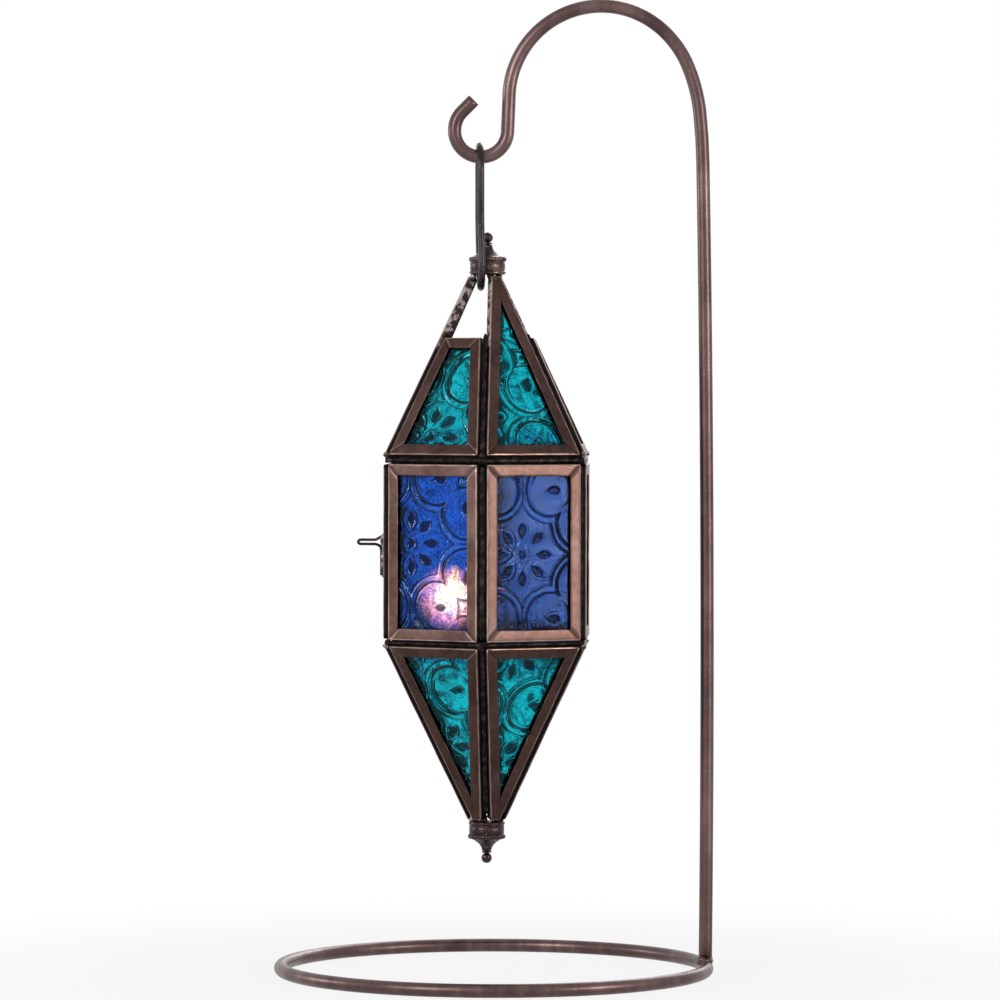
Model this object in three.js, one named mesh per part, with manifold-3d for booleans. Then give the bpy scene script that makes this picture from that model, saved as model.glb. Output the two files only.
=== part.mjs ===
// Hanging candle lantern of pressed glass in folded sheet-metal channels, on a bent-rod stand.
// Millimetres, +Z up. The origin is the centre of the base ring, on the surface that it stands on.
// The lantern hangs over the ring's centre, and the viewer looks along +Y with +X to the right.
import * as THREE from "three";
import { mergeVertices } from "three/addons/utils/BufferGeometryUtils.js";
import Module from "manifold-3d";

const wasm = await Module();
wasm.setup();

// Clearance between pieces that touch, and the sheet that the channels are folded from.
const seatGap = 0.3;
const sheet = 0.45;

// Stand: one rod for the ring, one for the upright, the crook and the hook. The upright's foot is
// welded on top of the ring, a little inside the middle of its rod.
const rodDiameter = 5.4;
const ringRadius = 85.3;
const rodSides = 12;
const ringSteps = 72;
const weldHeight = 3.6;
const weldWall = 1.3;
const uprightInset = 0.5;
const uprightBow = 1.15;

// The crook's foot on the hook's side, and its bends in the XZ plane. Each bend goes round its own
// centre to the bearing that it gives, from 180 degrees at the foot to the upright's shoulder.
const crookEntry = { x: 5.5, z: 350.3 };
const crookBends = [
  { radius: 37.1, to: 112 },
  { radius: 36.4, to: 50 },
  { radius: 40.3, to: 22 },
  { radius: 68.5, to: 6 },
  { radius: 235, to: 1.2 },
];

// Hook: its bowl's centre is set from the crook's foot, and its tip bends out of the bowl.
const hookAside = 11.1;
const hookDrop = 12.6;
const hookBowlRadius = 10.6;
const hookTipLength = 6.4;
const hookTipAngle = 135;
const hookStep = 15;

// Link: a long closed wire eye that hangs in the hook and cradles the lantern's cap.
const linkWire = 2.8;
const linkInside = 17;
const linkTurn = 2.7;
const linkSides = 10;
const linkStep = 15;

// Lantern body: a hexagonal box with a six-sided spire above and below it.
const lanternAxis = -2.9;
const bodyTurn = -2.5;
const sideCount = 6;
const sideWidth = 42.2;
const tipWidth = 4.6;
const channelDepth = 3.8;
const channelLip = 4.6;
const upperGap = 2;
const lowerGap = 0.9;
const bodyFloor = 134.9;
const bodyHeight = 69.9;
const upperHeight = 71.2;
const lowerHeight = 70.5;
const ventStart = 46.6;
const doorClearance = 0.35;

// Glass: pressed panes that lie loose in the channels.
const glassThickness = 2;

// Floor of the candle chamber.
const floorSheet = 0.6;
const floorDrop = 1.1;

// Caps and finials, alike above and below.
const capBead = 7.3;
const capBand = 7;
const capBeadHeight = 1.7;
const capBeadRound = 0.4;
const capBandHeight = 3.6;
const capRoofHeight = 4.9;
const capRoofSweep = 2.1;
const capRoofInset = 0.5;
const capNeck = 1.9;
const capWall = 1.3;
const capMills = 26;
const millDepth = 0.28;
const finialBall = 2.1;
const finialStem = 1;
const finialCollar = 0.5;
const finialSunk = 2.4;
const capClearance = 0.5;

// Solder: fillets in the grooves between channels, with a drop at each corner, and a run on the
// bare edge of each tall panel beside a vent. The stops and the run's top are shares of a height.
const filletDepth = 2.6;
const filletRoot = 1.05;
const ringInside = 1.5;
const ringOutside = 3;
const dropRadius = 1.15;
const dropReach = 3.3;
const spireStop = 0.97;
const postStop = 0.6;
const ventOverlap = 2;
const runWidth = 2.2;
const runFoot = 0.6;
const runTop = 0.86;

// Door on the left side, with its hinge at the rear edge and a wire pull at the front edge.
const hingePinDiameter = 1.2;
const hingeBarrel = 3.2;
const hingeRunning = 0.3;
const hingeLength = 46;
const pinHead = 1.1;
const pullWire = 1.1;
const pullReach = 10.8;
const pullSpread = 1.7;
const pullRaise = 3.8;
const pullHead = 2.2;
const pullRoot = 2.8;
const pullTail = 10.5;
const pullInset = 2.3;

// Tealight that stands loose on the chamber floor.
const tealightDiameter = 38;
const tealightHeight = 15;
const tealightWall = 0.5;
const tealightLip = 0.3;
const tealightLipHeight = 0.6;
const tealightFootRound = 0.5;
const waxDrop = 2.2;
const wickDiameter = 1.4;
const wickHeight = 6;
const wickSunk = 3;
const wickPoint = 0.6;
const tealightPlace = { x: -12.5, y: -3.5 };

const finishes = {
  rod: new THREE.MeshStandardMaterial({ color: 0x4b3228, roughness: 0.38, metalness: 0.9 }),
  channel: new THREE.MeshStandardMaterial({ color: 0x6a4635, roughness: 0.42, metalness: 0.9 }),
  cap: new THREE.MeshStandardMaterial({ color: 0x6f5548, roughness: 0.36, metalness: 0.9 }),
  solder: new THREE.MeshStandardMaterial({ color: 0xa39a92, roughness: 0.45, metalness: 0.85 }),
  tealGlass: new THREE.MeshStandardMaterial({ color: 0x0d9a9c, roughness: 0.15, metalness: 0 }),
  blueGlass: new THREE.MeshStandardMaterial({ color: 0x2346c4, roughness: 0.15, metalness: 0 }),
  tin: new THREE.MeshStandardMaterial({ color: 0xc9cbcd, roughness: 0.3, metalness: 1 }),
  wax: new THREE.MeshStandardMaterial({ color: 0xf3eee2, roughness: 0.5, metalness: 0 }),
  wick: new THREE.MeshStandardMaterial({ color: 0x2c2622, roughness: 0.9, metalness: 0 }),
};

const degrees = THREE.MathUtils.degToRad;
const rodRadius = rodDiameter / 2;
const uprightFoot = ringRadius - uprightInset;
const wireRadius = linkWire / 2;
const innerApothem = (sideWidth / 2) * Math.sqrt(3);
const tipApothem = (tipWidth / 2) * Math.sqrt(3);
const bodyTop = bodyFloor + bodyHeight;
const hookCentre = { x: crookEntry.x - hookAside, z: crookEntry.z - hookDrop };

function named(name, geometry, material) {
  const mesh = new THREE.Mesh(geometry, material);
  mesh.name = name;
  return mesh;
}

// Solids for cutting and joining.
function toSolid(geometry) {
  const plain = geometry.clone();
  for (const key of Object.keys(plain.attributes)) {
    if (key !== "position") plain.deleteAttribute(key);
  }
  const merged = mergeVertices(plain, 1e-4);
  return new wasm.Manifold(
    new wasm.Mesh({
      numProp: 3,
      vertProperties: new Float32Array(merged.attributes.position.array),
      triVerts: new Uint32Array(merged.index.array),
    }),
  );
}

function toGeometry(solid) {
  const mesh = solid.getMesh();
  const places = [];
  for (let i = 0; i < mesh.numVert; i++) {
    const at = i * mesh.numProp;
    places.push(mesh.vertProperties[at], mesh.vertProperties[at + 1], mesh.vertProperties[at + 2]);
  }
  const geometry = new THREE.BufferGeometry();
  geometry.setAttribute("position", new THREE.Float32BufferAttribute(places, 3));
  geometry.setIndex(Array.from(mesh.triVerts));
  return geometry;
}

function joined(geometries) {
  return toGeometry(geometries.map(toSolid).reduce((all, next) => all.add(next)));
}

// A surface over a grid of points: rows[i][j], closed along both directions.
function closedGrid(rows) {
  const across = rows[0].length;
  const places = rows.flat().flatMap((p) => [p.x, p.y, p.z]);
  const faces = [];
  rows.forEach((row, i) => {
    const next = (i + 1) % rows.length;
    row.forEach((point, j) => {
      const right = (j + 1) % across;
      const [a, b] = [i * across + j, i * across + right];
      const [c, d] = [next * across + right, next * across + j];
      faces.push(a, b, c, a, c, d);
    });
  });
  const geometry = new THREE.BufferGeometry();
  geometry.setAttribute("position", new THREE.Float32BufferAttribute(places, 3));
  geometry.setIndex(faces);
  return facingOut(geometry);
}

// Turns the faces round when they enclose a negative volume.
function facingOut(geometry) {
  const p = geometry.attributes.position;
  const index = geometry.index.array;
  const corner = [0, 1, 2].map(() => new THREE.Vector3());
  let volume = 0;
  for (let i = 0; i < index.length; i += 3) {
    corner.forEach((v, k) => v.fromBufferAttribute(p, index[i + k]));
    volume += corner[0].dot(corner[1].clone().cross(corner[2]));
  }
  if (volume < 0) {
    for (let i = 0; i < index.length; i += 3) {
      [index[i + 1], index[i + 2]] = [index[i + 2], index[i + 1]];
    }
  }
  return geometry;
}

// A flat outline moved inward by a distance, with mitred corners.
function insetOutline(outline, distance) {
  return outline.map((point, i) => {
    const before = outline[(i + outline.length - 1) % outline.length];
    const after = outline[(i + 1) % outline.length];
    const inDirection = point.clone().sub(before).normalize();
    const outDirection = after.clone().sub(point).normalize();
    const inNormal = new THREE.Vector2(-inDirection.y, inDirection.x);
    const outNormal = new THREE.Vector2(-outDirection.y, outDirection.x);
    const mitre = inNormal.clone().add(outNormal);
    return point.clone().addScaledVector(mitre, distance / (1 + inNormal.dot(outNormal)));
  });
}

// A folded section carried round an outline. The section's x is the distance in from the outline.
function mitredFrame(outline, section) {
  const rings = section.map(([inward, height]) =>
    insetOutline(outline, inward).map((p) => new THREE.Vector3(p.x, p.y, height)),
  );
  return closedGrid(rings);
}

function extruded(outline, from, to) {
  const geometry = new THREE.ExtrudeGeometry(new THREE.Shape(outline), {
    depth: to - from,
    bevelEnabled: false,
  });
  geometry.translate(0, 0, from);
  return geometry;
}

// A rod bent through given stations, with one ring of vertices at each of them.
class BentRod extends THREE.Curve {
  constructor(stations) {
    super();
    this.stations = stations;
  }
  getPoint(t, target = new THREE.Vector3()) {
    const place = THREE.MathUtils.clamp(t, 0, 1) * (this.stations.length - 1);
    const first = Math.min(Math.floor(place), this.stations.length - 2);
    return target.lerpVectors(this.stations[first], this.stations[first + 1], place - first);
  }
  getUtoTmapping(u) {
    return u;
  }
}

function polygonSection(radius, sides) {
  const points = [];
  for (let k = 0; k < sides; k++) {
    const angle = ((k + 0.5) / sides) * 2 * Math.PI;
    points.push(new THREE.Vector2(radius * Math.cos(angle), radius * Math.sin(angle)));
  }
  return points;
}

function rodAlong(stations, radius, sides) {
  return new THREE.ExtrudeGeometry(new THREE.Shape(polygonSection(radius, sides)), {
    steps: stations.length - 1,
    extrudePath: new BentRod(stations),
  });
}

// Revolved about Z from a profile of [radius, height] pairs.
function revolved(profile, segments) {
  const geometry = new THREE.LatheGeometry(
    profile.map(([r, z]) => new THREE.Vector2(r, z)),
    segments,
  );
  geometry.rotateX(Math.PI / 2);
  return geometry;
}

// Stand
function ringProfile(radius) {
  const points = polygonSection(radius, rodSides).map((p) => [ringRadius + p.x, p.y + rodRest]);
  return [...points, points[0]];
}

// The ring's section stands on one of its flats.
const rodRest = rodRadius * Math.cos(Math.PI / rodSides);

function baseRing() {
  return revolved(ringProfile(rodRadius), ringSteps);
}

function arcStations(centre, radius, from, to, step) {
  const count = Math.max(2, Math.ceil(Math.abs(to - from) / step));
  const points = [];
  for (let k = 1; k <= count; k++) {
    const angle = degrees(from + ((to - from) * k) / count);
    const x = centre.x + radius * Math.cos(angle);
    points.push(new THREE.Vector3(x, 0, centre.z + radius * Math.sin(angle)));
  }
  return points;
}

const hookLow = hookCentre.z - hookBowlRadius;

function hookStations() {
  const bowl = arcStations(hookCentre, hookBowlRadius, 0, -360 + hookTipAngle, hookStep);
  const end = bowl[bowl.length - 1];
  const along = degrees(hookTipAngle - 90);
  const tip = new THREE.Vector3(Math.cos(along), 0, Math.sin(along)).multiplyScalar(hookTipLength);
  const mouth = new THREE.Vector3(hookCentre.x + hookBowlRadius, 0, hookCentre.z);
  return [tip.add(end), ...bowl.reverse(), mouth];
}

function crookStations() {
  const points = [new THREE.Vector3(crookEntry.x, 0, crookEntry.z)];
  let centre = { x: crookEntry.x + crookBends[0].radius, z: crookEntry.z };
  let bearing = 180;
  let last = crookBends[0].radius;
  for (const { radius, to } of crookBends) {
    const angle = degrees(bearing);
    centre = {
      x: centre.x + (last - radius) * Math.cos(angle),
      z: centre.z + (last - radius) * Math.sin(angle),
    };
    points.push(...arcStations(centre, radius, bearing, to, hookStep));
    bearing = to;
    last = radius;
  }
  return points;
}

function hookRod() {
  const crook = crookStations();
  const shoulder = crook[crook.length - 1];
  const foot = new THREE.Vector3(uprightFoot, 0, 2 * rodRest + seatGap);
  const upright = [0.25, 0.5, 0.75, 1].map((t) => {
    const point = shoulder.clone().lerp(foot, t);
    point.x += uprightBow * 4 * t * (1 - t);
    return point;
  });
  return rodAlong([...hookStations(), ...crook, ...upright], rodRadius, rodSides);
}

// The weld bead saddles the ring, climbs round the upright's foot and is ground flush outside.
function footWeld() {
  const inside = rodRadius + seatGap;
  const base = rodRest;
  const top = 2 * rodRest + weldHeight;
  const collar = revolved(
    [
      [inside, base],
      [inside + weldWall, base],
      [inside + weldWall, 2 * rodRest],
      [inside + weldWall / 2, top],
      [inside, top],
      [inside, base],
    ],
    24,
  );
  collar.translate(uprightFoot, 0, 0);
  const room = revolved(ringProfile(rodRadius + seatGap), ringSteps);
  const reach = ringRadius + rodRest;
  const flush = revolved([[0, 0], [reach, 0], [reach, top + 1], [0, top + 1]], ringSteps);
  return toGeometry(toSolid(collar).subtract(toSolid(room)).intersect(toSolid(flush)));
}

// Link
const linkHalf = (linkInside + linkWire) / 2;
const linkTopCentre = hookLow + rodRadius + seatGap + wireRadius - linkHalf;
const linkPlane = hookCentre.x;
const capBase = bodyTop + upperGap + upperHeight + spireRise(upperHeight) + capClearance;
const capOnWire = Math.sqrt(capBead ** 2 - (linkPlane - lanternAxis) ** 2);
const linkLowCentre = capBase + Math.sqrt((linkInside / 2) ** 2 - capOnWire ** 2) - seatGap;

function hangingLink() {
  const stations = [];
  for (let angle = 0; angle <= 180; angle += linkStep) {
    stations.push([linkHalf * Math.cos(degrees(angle)), linkTopCentre + linkHalf * Math.sin(degrees(angle))]);
  }
  for (let angle = 180; angle <= 360; angle += linkStep) {
    stations.push([linkHalf * Math.cos(degrees(angle)), linkLowCentre + linkHalf * Math.sin(degrees(angle))]);
  }
  const rows = stations.map(([y, z], i) => {
    const before = stations[(i + stations.length - 1) % stations.length];
    const after = stations[(i + 1) % stations.length];
    const along = new THREE.Vector2(after[0] - before[0], after[1] - before[1]).normalize();
    return polygonSection(wireRadius, linkSides).map(
      (p) => new THREE.Vector3(linkPlane + p.x, y + p.y * along.y, z - p.y * along.x),
    );
  });
  const geometry = closedGrid(rows);
  geometry.translate(-linkPlane, 0, 0).rotateZ(degrees(linkTurn)).translate(linkPlane, 0, 0);
  return geometry;
}

// Lantern panels. Each side's group has x along the side, y up the panel and z outward.
const sides = [
  { name: "front_left", bearing: -30, tall: false },
  { name: "front_right", bearing: 30, tall: true },
  { name: "right", bearing: 90, tall: false },
  { name: "back_right", bearing: 150, tall: true },
  { name: "back_left", bearing: -150, tall: false },
  { name: "left", bearing: -90, tall: true },
];

// The inner plane of a spire's panel leans in by the same angle on all six sides.
function lean(height) {
  return Math.atan2(innerApothem - tipApothem, height);
}

function slope(height) {
  return Math.hypot(innerApothem - tipApothem, height);
}

// The height that a channel's outer edge stands above its inner edge on a spire.
function spireRise(height) {
  return channelDepth * Math.sin(lean(height));
}

function trapezium(bottom, top, height) {
  const trim = seatGap / 2;
  return [
    new THREE.Vector2(-bottom / 2 + trim, 0),
    new THREE.Vector2(bottom / 2 - trim, 0),
    new THREE.Vector2(top / 2 - trim, height),
    new THREE.Vector2(-top / 2 + trim, height),
  ];
}

// The opening that the lips leave. Where the lips cross at a narrow tip, it ends in a point.
function lipOutline(outline) {
  const inner = insetOutline(outline, channelLip);
  const crossed = (i) => inner[i].x * outline[i].x < 0;
  const kept = inner.filter((_, i) => !crossed(i));
  if (kept.length === inner.length) return inner;
  const wide = kept.find((p) => p.x > 0);
  const tip = inner.find((p, i) => crossed(i) && outline[i].x > 0);
  return [...kept, wide.clone().lerp(tip, wide.x / (wide.x - tip.x))];
}

// Folded channel round a panel: a slab with the groove for the glass cut in from its opening.
function channelFrame(outline) {
  const slab = toSolid(extruded(outline, 0, channelDepth));
  const groove = toSolid(extruded(insetOutline(outline, sheet), sheet, channelDepth - sheet));
  const opening = toSolid(extruded(lipOutline(outline), -sheet, channelDepth + sheet));
  return toGeometry(slab.subtract(groove).subtract(opening));
}

function glassPane(outline) {
  const low = (channelDepth - glassThickness) / 2;
  return extruded(insetOutline(outline, sheet + seatGap), low, low + glassThickness);
}

// Stands a flat panel on its side of the hexagon. tilt leans its top inward.
function onSide(mesh, bearing, height, tilt) {
  const foot = new THREE.Group();
  const angle = degrees(bearing);
  foot.position.set(innerApothem * Math.sin(angle), -innerApothem * Math.cos(angle), height);
  foot.rotation.set(0, 0, angle);
  mesh.rotation.x = Math.PI / 2 - tilt;
  foot.add(mesh);
  return foot;
}

function spireOutline(height, upTo) {
  const topWidth = sideWidth + ((tipWidth - sideWidth) * upTo) / height;
  return trapezium(sideWidth, topWidth, (slope(height) * upTo) / height);
}

function flipped(outline) {
  return outline.map((p) => new THREE.Vector2(p.x, -p.y)).reverse();
}

function upperTier() {
  const tier = new THREE.Group();
  for (const { name, bearing, tall } of sides) {
    const outline = spireOutline(upperHeight, tall ? upperHeight : ventStart);
    const frame = named("upper_frame_" + name, channelFrame(outline), finishes.channel);
    const pane = named("upper_pane_" + name, glassPane(outline), finishes.tealGlass);
    for (const piece of [frame, pane]) {
      tier.add(onSide(piece, bearing, bodyTop + upperGap, lean(upperHeight)));
    }
  }
  return tier;
}

function lowerTier() {
  const tier = new THREE.Group();
  const outline = flipped(spireOutline(lowerHeight, lowerHeight));
  for (const { name, bearing } of sides) {
    const frame = named("lower_frame_" + name, channelFrame(outline), finishes.channel);
    const pane = named("lower_pane_" + name, glassPane(outline), finishes.tealGlass);
    for (const piece of [frame, pane]) {
      tier.add(onSide(piece, bearing, bodyFloor - lowerGap, -lean(lowerHeight)));
    }
  }
  return tier;
}

function middleTier() {
  const tier = new THREE.Group();
  for (const { name, bearing } of sides) {
    const isDoor = name === "left";
    const trim = isDoor ? doorClearance : 0;
    const outline = trapezium(sideWidth - 2 * trim, sideWidth - 2 * trim, bodyHeight - 2 * trim);
    const frameName = isDoor ? "door_frame" : "middle_frame_" + name;
    const paneName = isDoor ? "door_pane" : "middle_pane_" + name;
    const frame = named(frameName, channelFrame(outline), finishes.channel);
    const pane = named(paneName, glassPane(outline), finishes.blueGlass);
    for (const piece of [frame, pane]) {
      tier.add(onSide(piece, bearing, bodyFloor + trim, 0));
    }
  }
  return tier;
}

function hexagon(apothem) {
  const points = [];
  for (let k = 0; k < sideCount; k++) {
    const angle = degrees(k * 60 - 90);
    const radius = apothem / Math.cos(Math.PI / sideCount);
    points.push(new THREE.Vector2(radius * Math.cos(angle), radius * Math.sin(angle)));
  }
  return points;
}

// The floor lies on the leaning channels of the lower spire, just below the box.
function chamberFloor() {
  const top = bodyFloor - floorDrop;
  const tilt = lean(lowerHeight);
  const sunk = floorDrop + floorSheet - lowerGap;
  const reach = innerApothem - sunk * Math.tan(tilt) - seatGap / Math.cos(tilt);
  return named("floor_plate", extruded(hexagon(reach), top - floorSheet, top), finishes.channel);
}

// Caps
function capProfile() {
  const bandBottom = capBeadHeight;
  const bandTop = bandBottom + capBandHeight;
  const roofFoot = bandTop + capBeadHeight;
  const top = roofFoot + capRoofHeight;
  const shoulder = capBand - capRoofInset;
  const points = [[capBead - capWall, 0], [capBead - capBeadRound, 0], [capBead, capBeadRound]];
  points.push([capBead, capBeadHeight - capBeadRound], [capBand, bandBottom], [capBand, bandTop]);
  const milledEdge = capBead + millDepth;
  points.push([milledEdge, bandTop + capBeadRound], [milledEdge, roofFoot - capBeadRound]);
  points.push([shoulder, roofFoot]);
  for (const t of [0.25, 0.5, 0.75, 1]) {
    const fall = (1 - t) ** capRoofSweep;
    points.push([capNeck + (shoulder - capNeck) * fall, roofFoot + capRoofHeight * t]);
  }
  const bore = finialStem + seatGap;
  points.push([bore, top], [bore, top - capWall], [capBand - capWall, bandTop], points[0]);
  return points;
}

const capHeight = 2 * capBeadHeight + capBandHeight + capRoofHeight;

// The milled bead is pressed in and out round its edge.
function milled(geometry) {
  const p = geometry.attributes.position;
  for (let i = 0; i < p.count; i++) {
    const [x, y] = [p.getX(i), p.getY(i)];
    const radius = Math.hypot(x, y);
    if (radius > capBead + millDepth / 2) {
      const wave = millDepth * Math.cos(capMills * Math.atan2(y, x));
      const scale = (radius - millDepth + wave) / radius;
      p.setXY(i, x * scale, y * scale);
    }
  }
  return geometry;
}

function cap(name) {
  return named(name, milled(revolved(capProfile(), capMills * 2)), finishes.cap);
}

function finial(name) {
  const neck = capHeight + seatGap;
  const centre = neck + finialCollar + finialBall;
  const ball = [];
  for (let angle = -65; angle < 90; angle += 22) {
    ball.push([
      finialBall * Math.cos(degrees(angle)),
      centre + finialBall * Math.sin(degrees(angle)),
    ]);
  }
  const profile = [
    [0, capHeight - finialSunk],
    [finialStem, capHeight - finialSunk],
    [finialStem, neck],
    [capNeck, neck],
    [capNeck, neck + finialCollar],
    ...ball,
    [0, centre + finialBall],
  ];
  return named(name, revolved(profile, 20), finishes.cap);
}

const lowerCapBase = bodyFloor - lowerGap - lowerHeight - spireRise(lowerHeight) - capClearance;

function caps() {
  const both = new THREE.Group();
  const top = new THREE.Group();
  top.position.z = capBase;
  top.add(cap("top_cap"), finial("top_finial"));
  const bottom = new THREE.Group();
  bottom.position.z = lowerCapBase;
  bottom.rotation.x = Math.PI;
  bottom.add(cap("bottom_cap"), finial("bottom_finial"));
  both.add(top, bottom);
  return both;
}

// Solder. A fillet lies in the groove between two channels, clear of both by the seat gap.
function corner(bearing, width, height) {
  const angle = degrees(bearing);
  return new THREE.Vector3(width * Math.sin(angle), -width * Math.cos(angle), height);
}

function panelNormal(bearing, tilt) {
  const angle = degrees(bearing);
  const flat = new THREE.Vector3(Math.sin(angle), -Math.cos(angle), 0);
  return flat.multiplyScalar(Math.cos(tilt)).add(new THREE.Vector3(0, 0, Math.sin(tilt)));
}

function filletRows(start, end, left, right) {
  const middle = left.clone().add(right).normalize();
  const half = left.angleTo(right) / 2;
  const across = left.clone().sub(right).normalize();
  const tip = seatGap / Math.sin(half);
  const deep = filletDepth * Math.cos(half) + seatGap * Math.sin(half);
  const wide = filletDepth * Math.sin(half) - seatGap * Math.cos(half);
  return [start, end].map((at) => [
    at.clone().addScaledVector(middle, tip * filletRoot),
    at.clone().addScaledVector(middle, deep).addScaledVector(across, wide),
    at.clone().addScaledVector(middle, deep).addScaledVector(across, -wide),
  ]);
}

// A bar between two triangles, each given by its three corners.
function wedge(first, last) {
  const places = [...first, ...last].flatMap((p) => [p.x, p.y, p.z]);
  const geometry = new THREE.BufferGeometry();
  geometry.setAttribute("position", new THREE.Float32BufferAttribute(places, 3));
  geometry.setIndex([0, 2, 1, 3, 4, 5, 0, 1, 4, 0, 4, 3, 1, 2, 5, 1, 5, 4, 2, 0, 3, 2, 3, 5]);
  return facingOut(geometry);
}

function fillet(start, end, left, right) {
  return wedge(...filletRows(start, end, left, right));
}

// The bare edge of a tall panel is tinned where it stands beside a vent. The run starts on the end
// of the fillet below it, and leans into the vent.
function ventRun(bearing, height, tilt) {
  const towardsTall = bearing % 120 === 0 ? 1 : -1;
  const tall = panelNormal(bearing + towardsTall * 30, tilt);
  const short = panelNormal(bearing - towardsTall * 30, tilt);
  const clear = seatGap / Math.cos(Math.PI / sideCount);
  const section = (share, size) => {
    const width = sideWidth + (tipWidth - sideWidth) * share;
    const edge = corner(bearing, width, bodyTop + upperGap + height * share);
    const upward = corner(bearing, tipWidth - sideWidth, height).normalize();
    const intoVent = short.clone().cross(upward).multiplyScalar(towardsTall);
    const away = tall.clone().cross(upward).multiplyScalar(towardsTall);
    edge.addScaledVector(away, clear);
    return [
      edge.clone().addScaledVector(tall, clear),
      edge.clone().addScaledVector(tall, filletDepth * size),
      edge.clone().addScaledVector(tall, clear).addScaledVector(intoVent, runWidth * size),
    ];
  };
  return wedge(section((ventStart + ventOverlap / 2) / height, runFoot), section(runTop, 1));
}

// A ring of solder in the groove between the box and a spire, opening outward.
function grooveRing(edge, up, gap, tilt) {
  const rise = gap + ringOutside * Math.tan(tilt) - 2 * seatGap;
  const section = [
    [-ringInside, edge + up * seatGap],
    [-ringOutside, edge + up * seatGap],
    [-ringOutside, edge + up * (seatGap + rise)],
  ];
  return mitredFrame(hexagon(innerApothem), section);
}

function spireSolder(edge, up, gap, height) {
  const tilt = lean(height);
  const pieces = [grooveRing(edge, up, gap, tilt)];
  const foot = edge + up * gap;
  const share = up > 0 ? (ventStart + ventOverlap) / height : spireStop;
  for (let k = 0; k < sideCount; k++) {
    const bearing = k * 60;
    const width = sideWidth + (tipWidth - sideWidth) * share;
    const start = corner(bearing, sideWidth, foot);
    const end = corner(bearing, width, foot + up * height * share);
    const left = panelNormal(bearing - 30, up * tilt);
    const right = panelNormal(bearing + 30, up * tilt);
    pieces.push(fillet(start, end, left, right));
    const drop = new THREE.IcosahedronGeometry(dropRadius, 1);
    const out = left.clone().add(right).normalize().multiplyScalar(dropReach);
    drop.translate(start.x + out.x, start.y + out.y, start.z + out.z);
    pieces.push(drop);
    if (up > 0) pieces.push(ventRun(bearing, height, tilt));
  }
  return joined(pieces);
}

function solder() {
  const all = new THREE.Group();
  const upper = spireSolder(bodyTop, 1, upperGap, upperHeight);
  const lower = spireSolder(bodyFloor, -1, lowerGap, lowerHeight);
  all.add(named("solder_upper", upper, finishes.solder), named("solder_lower", lower, finishes.solder));
  [0, 60, 120, 180].forEach((bearing, k) => {
    const start = corner(bearing, sideWidth, bodyFloor + postStop);
    const end = corner(bearing, sideWidth, bodyTop - postStop);
    const strip = fillet(start, end, panelNormal(bearing - 30, 0), panelNormal(bearing + 30, 0));
    all.add(named("solder_post_" + (k + 1), strip, finishes.solder));
  });
  return all;
}

// Door furniture. The hinge lies in the mouth of the groove at the door's rear edge.
const hingeOut = (hingeBarrel / 2 + seatGap) / Math.sin(Math.PI / sideCount);
const hingeBearing = -120;
const hingeMiddle = bodyFloor + bodyHeight / 2;

function barrel(name, from, to) {
  const bore = hingePinDiameter / 2 + hingeRunning;
  const outside = hingeBarrel / 2;
  const profile = [
    [bore, from],
    [outside, from],
    [outside, to],
    [bore, to],
    [bore, from],
  ];
  return named(name, revolved(profile, 16), finishes.channel);
}

function hinge() {
  const parts = new THREE.Group();
  const at = corner(hingeBearing, sideWidth + hingeOut, 0);
  parts.position.copy(at);
  const low = hingeMiddle - hingeLength / 2;
  const third = hingeLength / 3;
  parts.add(barrel("hinge_knuckle_bottom", low, low + third - seatGap));
  parts.add(barrel("hinge_knuckle_door", low + third, low + 2 * third));
  parts.add(barrel("hinge_knuckle_top", low + 2 * third + seatGap, low + 3 * third));
  const pin = hingePinDiameter / 2;
  const head = [
    [0, low - seatGap - pinHead],
    [pinHead, low - seatGap - pinHead],
    [pinHead, low - seatGap],
    [pin, low - seatGap],
    [pin, low + 3 * third + seatGap],
    [pinHead, low + 3 * third + seatGap],
    [pinHead, low + 3 * third + seatGap + pinHead],
    [0, low + 3 * third + seatGap + pinHead],
  ];
  parts.add(named("hinge_pin", revolved(head, 12), finishes.rod));
  return parts;
}

// The pull is a hairpin of wire. Its lower end turns down and is soldered along the door's channel.
function doorPull() {
  const off = channelDepth + seatGap + pullWire / 2;
  const half = pullSpread / 2;
  const tip = channelDepth + pullReach - pullWire / 2;
  const stations = [
    new THREE.Vector3(0, pullHead, off),
    new THREE.Vector3(0, (pullHead + half) / 2, off + pullWire),
    new THREE.Vector3(0, half, off + pullHead),
    new THREE.Vector3(0, half, tip - half),
  ];
  for (const angle of [60, 30, 0, -30, -60]) {
    const a = degrees(angle);
    stations.push(new THREE.Vector3(0, half * Math.sin(a), tip - half + half * Math.cos(a)));
  }
  stations.push(
    new THREE.Vector3(0, -half, tip - half),
    new THREE.Vector3(0, -half, off + 2 * pullWire),
    new THREE.Vector3(0, -(pullRoot + half) / 2, off + pullWire / 2),
    new THREE.Vector3(0, -pullRoot, off),
    new THREE.Vector3(0, -pullRoot - pullTail, off),
  );
  const pull = named("door_pull", rodAlong(stations, pullWire / 2, 8), finishes.solder);
  pull.position.x = sideWidth / 2 - doorClearance - pullInset;
  const holder = new THREE.Group();
  holder.add(pull);
  return onSide(holder, -90, hingeMiddle + pullRaise, 0);
}

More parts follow.
